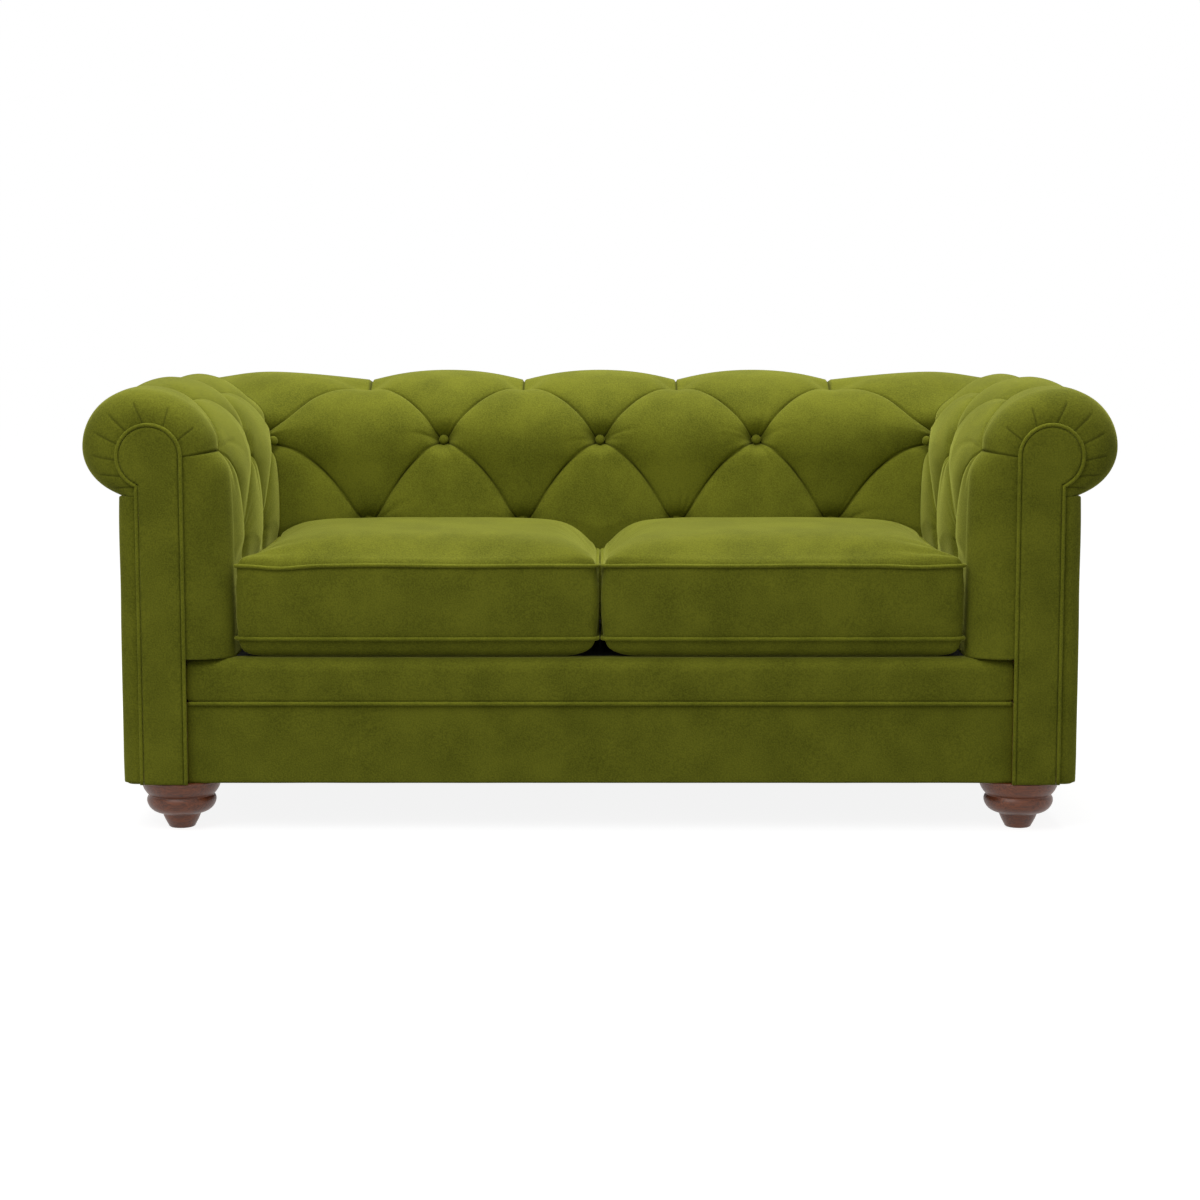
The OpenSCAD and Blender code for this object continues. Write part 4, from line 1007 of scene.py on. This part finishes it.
pipeLow, pipeHigh = boxOf("left_cushion_piping")
cushion = {
    "side": armFace - wall["crest"] - 1.5, "ear": 15, "armDraw": 5, "midDraw": 1, "frontDraw": 4, "corner": 9,
    "swell": 5, "crown": 54, "belly": 34, "gap": 0.4, "edgeIn": 7.4,
    "pressure": 4, "slack": 0.02, "crownCap": 14, "bandCap": 2.2,
    "lowerZ": pipeLow[2] + 3.35, "upperZ": pipeHigh[2] - 3.35,
    "frontY": boxOf("front_rail_cover")[0][1], "rearY": pipeHigh[1] + 0.1,
    "across": 72, "deep": 64, "band": 13,
    # distance from the front, slope, length, width and share of the depth of each fold at the corner
    "cornerFolds": ((13, 0.10, 105, 6.5, 1.0), (31, 0.22, 78, 8, 0.9), (54, 0.38, 60, 11, 0.5)),
}


def cushionPlan(u, v):
    # where a place on the cushion lies in plan: u runs from the arm to the middle, v from front to rear
    c = cushion
    bulge = lambda t: 1 - np.abs(t) ** 2.5
    ears = c["ear"] * bell(v + 0.955, 0.045)
    x0 = -(c["side"] + ears - c["armDraw"] * bulge(v) - c["edgeIn"])
    x1 = -c["gap"] - 6.1 - c["midDraw"] * bulge(v)
    y0 = c["frontY"] + c["edgeIn"] + c["frontDraw"] * np.abs(u) ** 3
    y1 = c["rearY"] - c["edgeIn"]
    a, b, r = c["side"] / 2, (c["rearY"] - c["frontY"]) / 2, c["corner"]
    # corners are drawn round
    dx, dy = np.maximum(np.abs(u) * a - (a - r), 0), np.maximum(np.abs(v) * b - (b - r), 0)
    far = np.hypot(dx, dy)
    pull = np.where(far > 0, np.maximum(dx, dy) / np.maximum(far, 1e-9), 1)
    both = (dx > 0) & (dy > 0)
    uu = np.where(both, np.sign(u) * ((a - r) + dx * pull) / a, u)
    vv = np.where(both, np.sign(v) * ((b - r) + dy * pull) / b, v)
    return mix(x0, x1, (uu + 1) / 2), mix(y0, y1, (vv + 1) / 2)


def puffed(points, faces, pins, name):
    # cloth under pressure, held along its seams, gives the stuffed form
    mesh = bpy.data.meshes.new(name)
    mesh.from_pydata((points * mm).tolist(), [], faces)
    obj = bpy.data.objects.new(name, mesh)
    bpy.context.scene.collection.objects.link(obj)
    group = obj.vertex_groups.new(name="seam")
    group.add([int(i) for i in pins], 1.0, "REPLACE")
    cloth = obj.modifiers.new("cloth", "CLOTH")
    cloth.settings.quality = 6
    cloth.settings.mass = 0.35
    cloth.settings.tension_stiffness = 18
    cloth.settings.compression_stiffness = 18
    cloth.settings.shear_stiffness = 6
    cloth.settings.bending_stiffness = 0.3
    cloth.settings.shrink_min = -cushion["slack"]
    cloth.settings.use_pressure = True
    cloth.settings.uniform_pressure_force = cushion["pressure"]
    cloth.settings.vertex_group_mass = "seam"
    cloth.settings.effector_weights.gravity = 0
    cloth.point_cache.frame_start, cloth.point_cache.frame_end = 1, 20
    for step in range(1, 21):
        bpy.context.scene.frame_set(step)
    done = obj.evaluated_get(bpy.context.evaluated_depsgraph_get())
    found = np.empty(len(done.data.vertices) * 3, np.float32)
    done.data.vertices.foreach_get("co", found)
    bpy.data.objects.remove(obj)
    bpy.context.scene.frame_set(1)
    return found.reshape(-1, 3) / mm


def seamWave(x, y, side, upper):
    # the piping isn't dead straight: it dips a little beside the outer front corner
    fromCorner = np.hypot(x + cushion["side"], y - cushion["frontY"])
    deep = {"left": 5.0, "right": 3.0}[side] if upper else 0.8
    return (-deep * bell(fromCorner - 70, 42)
            + 0.3 * deep * bell(fromCorner - 210, 70)
            - 24 * upper * bell(x, 45) * smooth((y - cushion["frontY"] - 100) / 260)
            + 0.5 * np.sin(x / 37 + 1.3 * upper) * np.sin(y / 61))


def makeCushions():
    c = cushion
    soften = lambda n: mix(np.linspace(-1, 1, n), np.sin(np.linspace(-np.pi / 2, np.pi / 2, n)), 0.45)
    us, vs = soften(c["across"]), soften(c["deep"])
    nu, nv, nb = len(us), len(vs), c["band"]
    u, v = np.meshgrid(us, vs, indexing="ij")
    x, y = cushionPlan(u, v)
    bulge = lambda t: 1 - np.abs(t) ** 3.8
    a, b = bulge(u) + 1e-6, bulge(v) + 1e-6
    full = a * b / np.sqrt(a * a + b * b - a * a * b * b)
    top = np.stack([x, y, c["upperZ"] + 0.72 * c["crown"] * full ** 0.42], -1)
    f = np.clip(np.minimum(9 * (1 - np.maximum(-u, np.abs(v))), 5 * (1 - u)), 0, 1)
    base = np.stack([x, y, c["lowerZ"] - c["belly"] * np.sqrt(np.clip(1 - (1 - f) ** 2, 0, 1))], -1)
    rim = ([(i, 0) for i in range(nu - 1)] + [(nu - 1, j) for j in range(nv - 1)]
           + [(i, nv - 1) for i in range(nu - 1, 0, -1)] + [(0, j) for j in range(nv - 1, 0, -1)])
    loop = np.array([top[i, j, :2] for i, j in rim])
    ahead = np.roll(loop, -1, 0) - np.roll(loop, 1, 0)
    outward = np.stack([ahead[:, 1], -ahead[:, 0]], -1) / np.linalg.norm(ahead, axis=1)[:, None]
    nr = len(rim)
    levels = np.linspace(0, 1, nb + 2)[1:-1]
    band = np.concatenate([np.column_stack([loop + c["swell"] * 0.5 * math.sin(math.pi * t) * outward,
                                            np.full(nr, mix(c["lowerZ"], c["upperZ"], t))]) for t in levels])
    points = np.concatenate([top.reshape(-1, 3), base.reshape(-1, 3), band])
    count = nu * nv
    topAt = lambda i, j: i * nv + j
    faces = [(topAt(i, j), topAt(i + 1, j), topAt(i + 1, j + 1), topAt(i, j + 1))
             for i in range(nu - 1) for j in range(nv - 1)]
    faces += [tuple(count + k for k in reversed(f)) for f in faces]
    rings = [[count + topAt(*g) for g in rim]]
    rings += [[2 * count + k * nr + i for i in range(nr)] for k in range(nb)]
    rings += [[topAt(*g) for g in rim]]
    for low, high in zip(rings[:-1], rings[1:]):
        for k in range(nr):
            m = (k + 1) % nr
            faces.append((low[k], low[m], high[m], high[k]))
    pins = rings[0] + rings[-1] + list(range(count, 2 * count))
    done = puffed(points, faces, pins, "stuffing")
    move = done - points
    size = np.linalg.norm(move, axis=1)
    cap = np.full(len(points), c["crownCap"], float)
    cap[2 * count:] = c["bandCap"]
    move *= (cap * np.tanh(size / cap) / np.maximum(size, 1e-9))[:, None]
    print("cushion puffed by up to", round(float(size.max()), 1), "mm")
    for _ in range(3):
        # the finest creases of the cloth are evened out
        top = move[:count].reshape(nu, nv, 3)
        top[1:-1, 1:-1] = (top[:-2, 1:-1] + top[2:, 1:-1] + top[1:-1, :-2] + top[1:-1, 2:]) / 4
    formed = points + move
    # a faint painted shade along the cushions' two seams
    folds = np.zeros(len(points))
    folds[rings[0] + rings[-1]] = 0.05
    for side in ("left", "right"):
        body = side + "_cushion"
        shape = formed.copy()
        share = np.clip((shape[:, 2] - c["lowerZ"]) / (c["upperZ"] - c["lowerZ"]), 0, 1)
        shape[:, 2] += share * seamWave(shape[:, 0], shape[:, 1], side, True)
        shape[:, 2] += cornerFolds(shape, count, u.ravel(), v.ravel(), side)
        seams = [np.column_stack([shape[ring][:, :2] + outward * 2.7, shape[ring][:, 2]])
                 for ring in (rings[0], rings[-1])]
        skin = addPiece(side + "_seat_cushion", *seenFrom(side, shape, faces), "velvet", body=body,
                        replaces=[side + "_cushion_cover"], folds=folds, padded=0.85)
        smoothOnce(skin)
        parts = [tube(seam, 3.35, (0, 0, 1), closed=True, sides=12) for seam in seams]
        cord = np.concatenate([p for p, _ in parts])
        cordFaces = parts[0][1] + [tuple(i + len(parts[0][0]) for i in f) for f in parts[1][1]]
        addPiece(side + "_cushion_cord", *seenFrom(side, cord, cordFaces), "velvet_piping", body=body,
                 replaces=[side + "_cushion_piping"])


def cornerFolds(shape, count, u, v, side):
    # short folds run in from the outer front corner, and slack cloth lies along the seams
    lift = np.zeros(len(shape))
    deep = {"left": 3.0, "right": 5.2}[side]
    x, y = shape[:count, 0], shape[:count, 1]
    away = x + cushion["side"]
    fromFront = y - cushion["frontY"]
    inside = np.clip((1 - np.abs(u)) * 14, 0, 1) * np.clip((1 - np.abs(v)) * 14, 0, 1)
    for at, slope, long, wide, share in cushion["cornerFolds"]:
        line = fromFront - at - slope * away
        run = bell(away, long)
        lift[:count] += inside * deep * share * run * (
            bell(line, wide) - 0.9 * bell(line - 1.7 * wide, wide))
    rng = np.random.default_rng(5 if side == "left" else 9)
    for _ in range(26):
        at, turn = rng.uniform(-1, 1, 2), rng.uniform(0, np.pi)
        px, py = -cushion["side"] * (0.5 + 0.47 * at[0]), cushion["frontY"] + 270 * (1 + at[1])
        dx, dy = x - px, y - py
        a, b = dx * math.cos(turn) + dy * math.sin(turn), dy * math.cos(turn) - dx * math.sin(turn)
        long, wide = rng.uniform(40, 120), rng.uniform(9, 20)
        deep = (0.65 + 0.35 * at[0]) * rng.uniform(-1, 1)
        lift[:count] += inside * deep * np.exp(-(a / long) ** 2 - (b / wide) ** 2)
    return lift


def smoothOnce(piece):
    # one level of subdivision, applied
    extra = piece.modifiers.new("subdivision", "SUBSURF")
    extra.levels = extra.render_levels = 1
    done = piece.evaluated_get(bpy.context.evaluated_depsgraph_get())
    mesh = bpy.data.meshes.new_from_object(done)
    piece.modifiers.clear()
    piece.data = mesh


makeCushions()
print("cushions made")


# Carried-over frame pieces keep their CAD shape and get their finish

def dressNodes():
    slots = {row["node"]: row["material_slot"] for row in frame["record"]["subparts"]}
    for name, node in frame["nodes"].items():
        node.data.materials.clear()
        node.data.materials.append(finish[slots[name]])


dressNodes()
print("frame pieces finished:", len(frame["nodes"]))
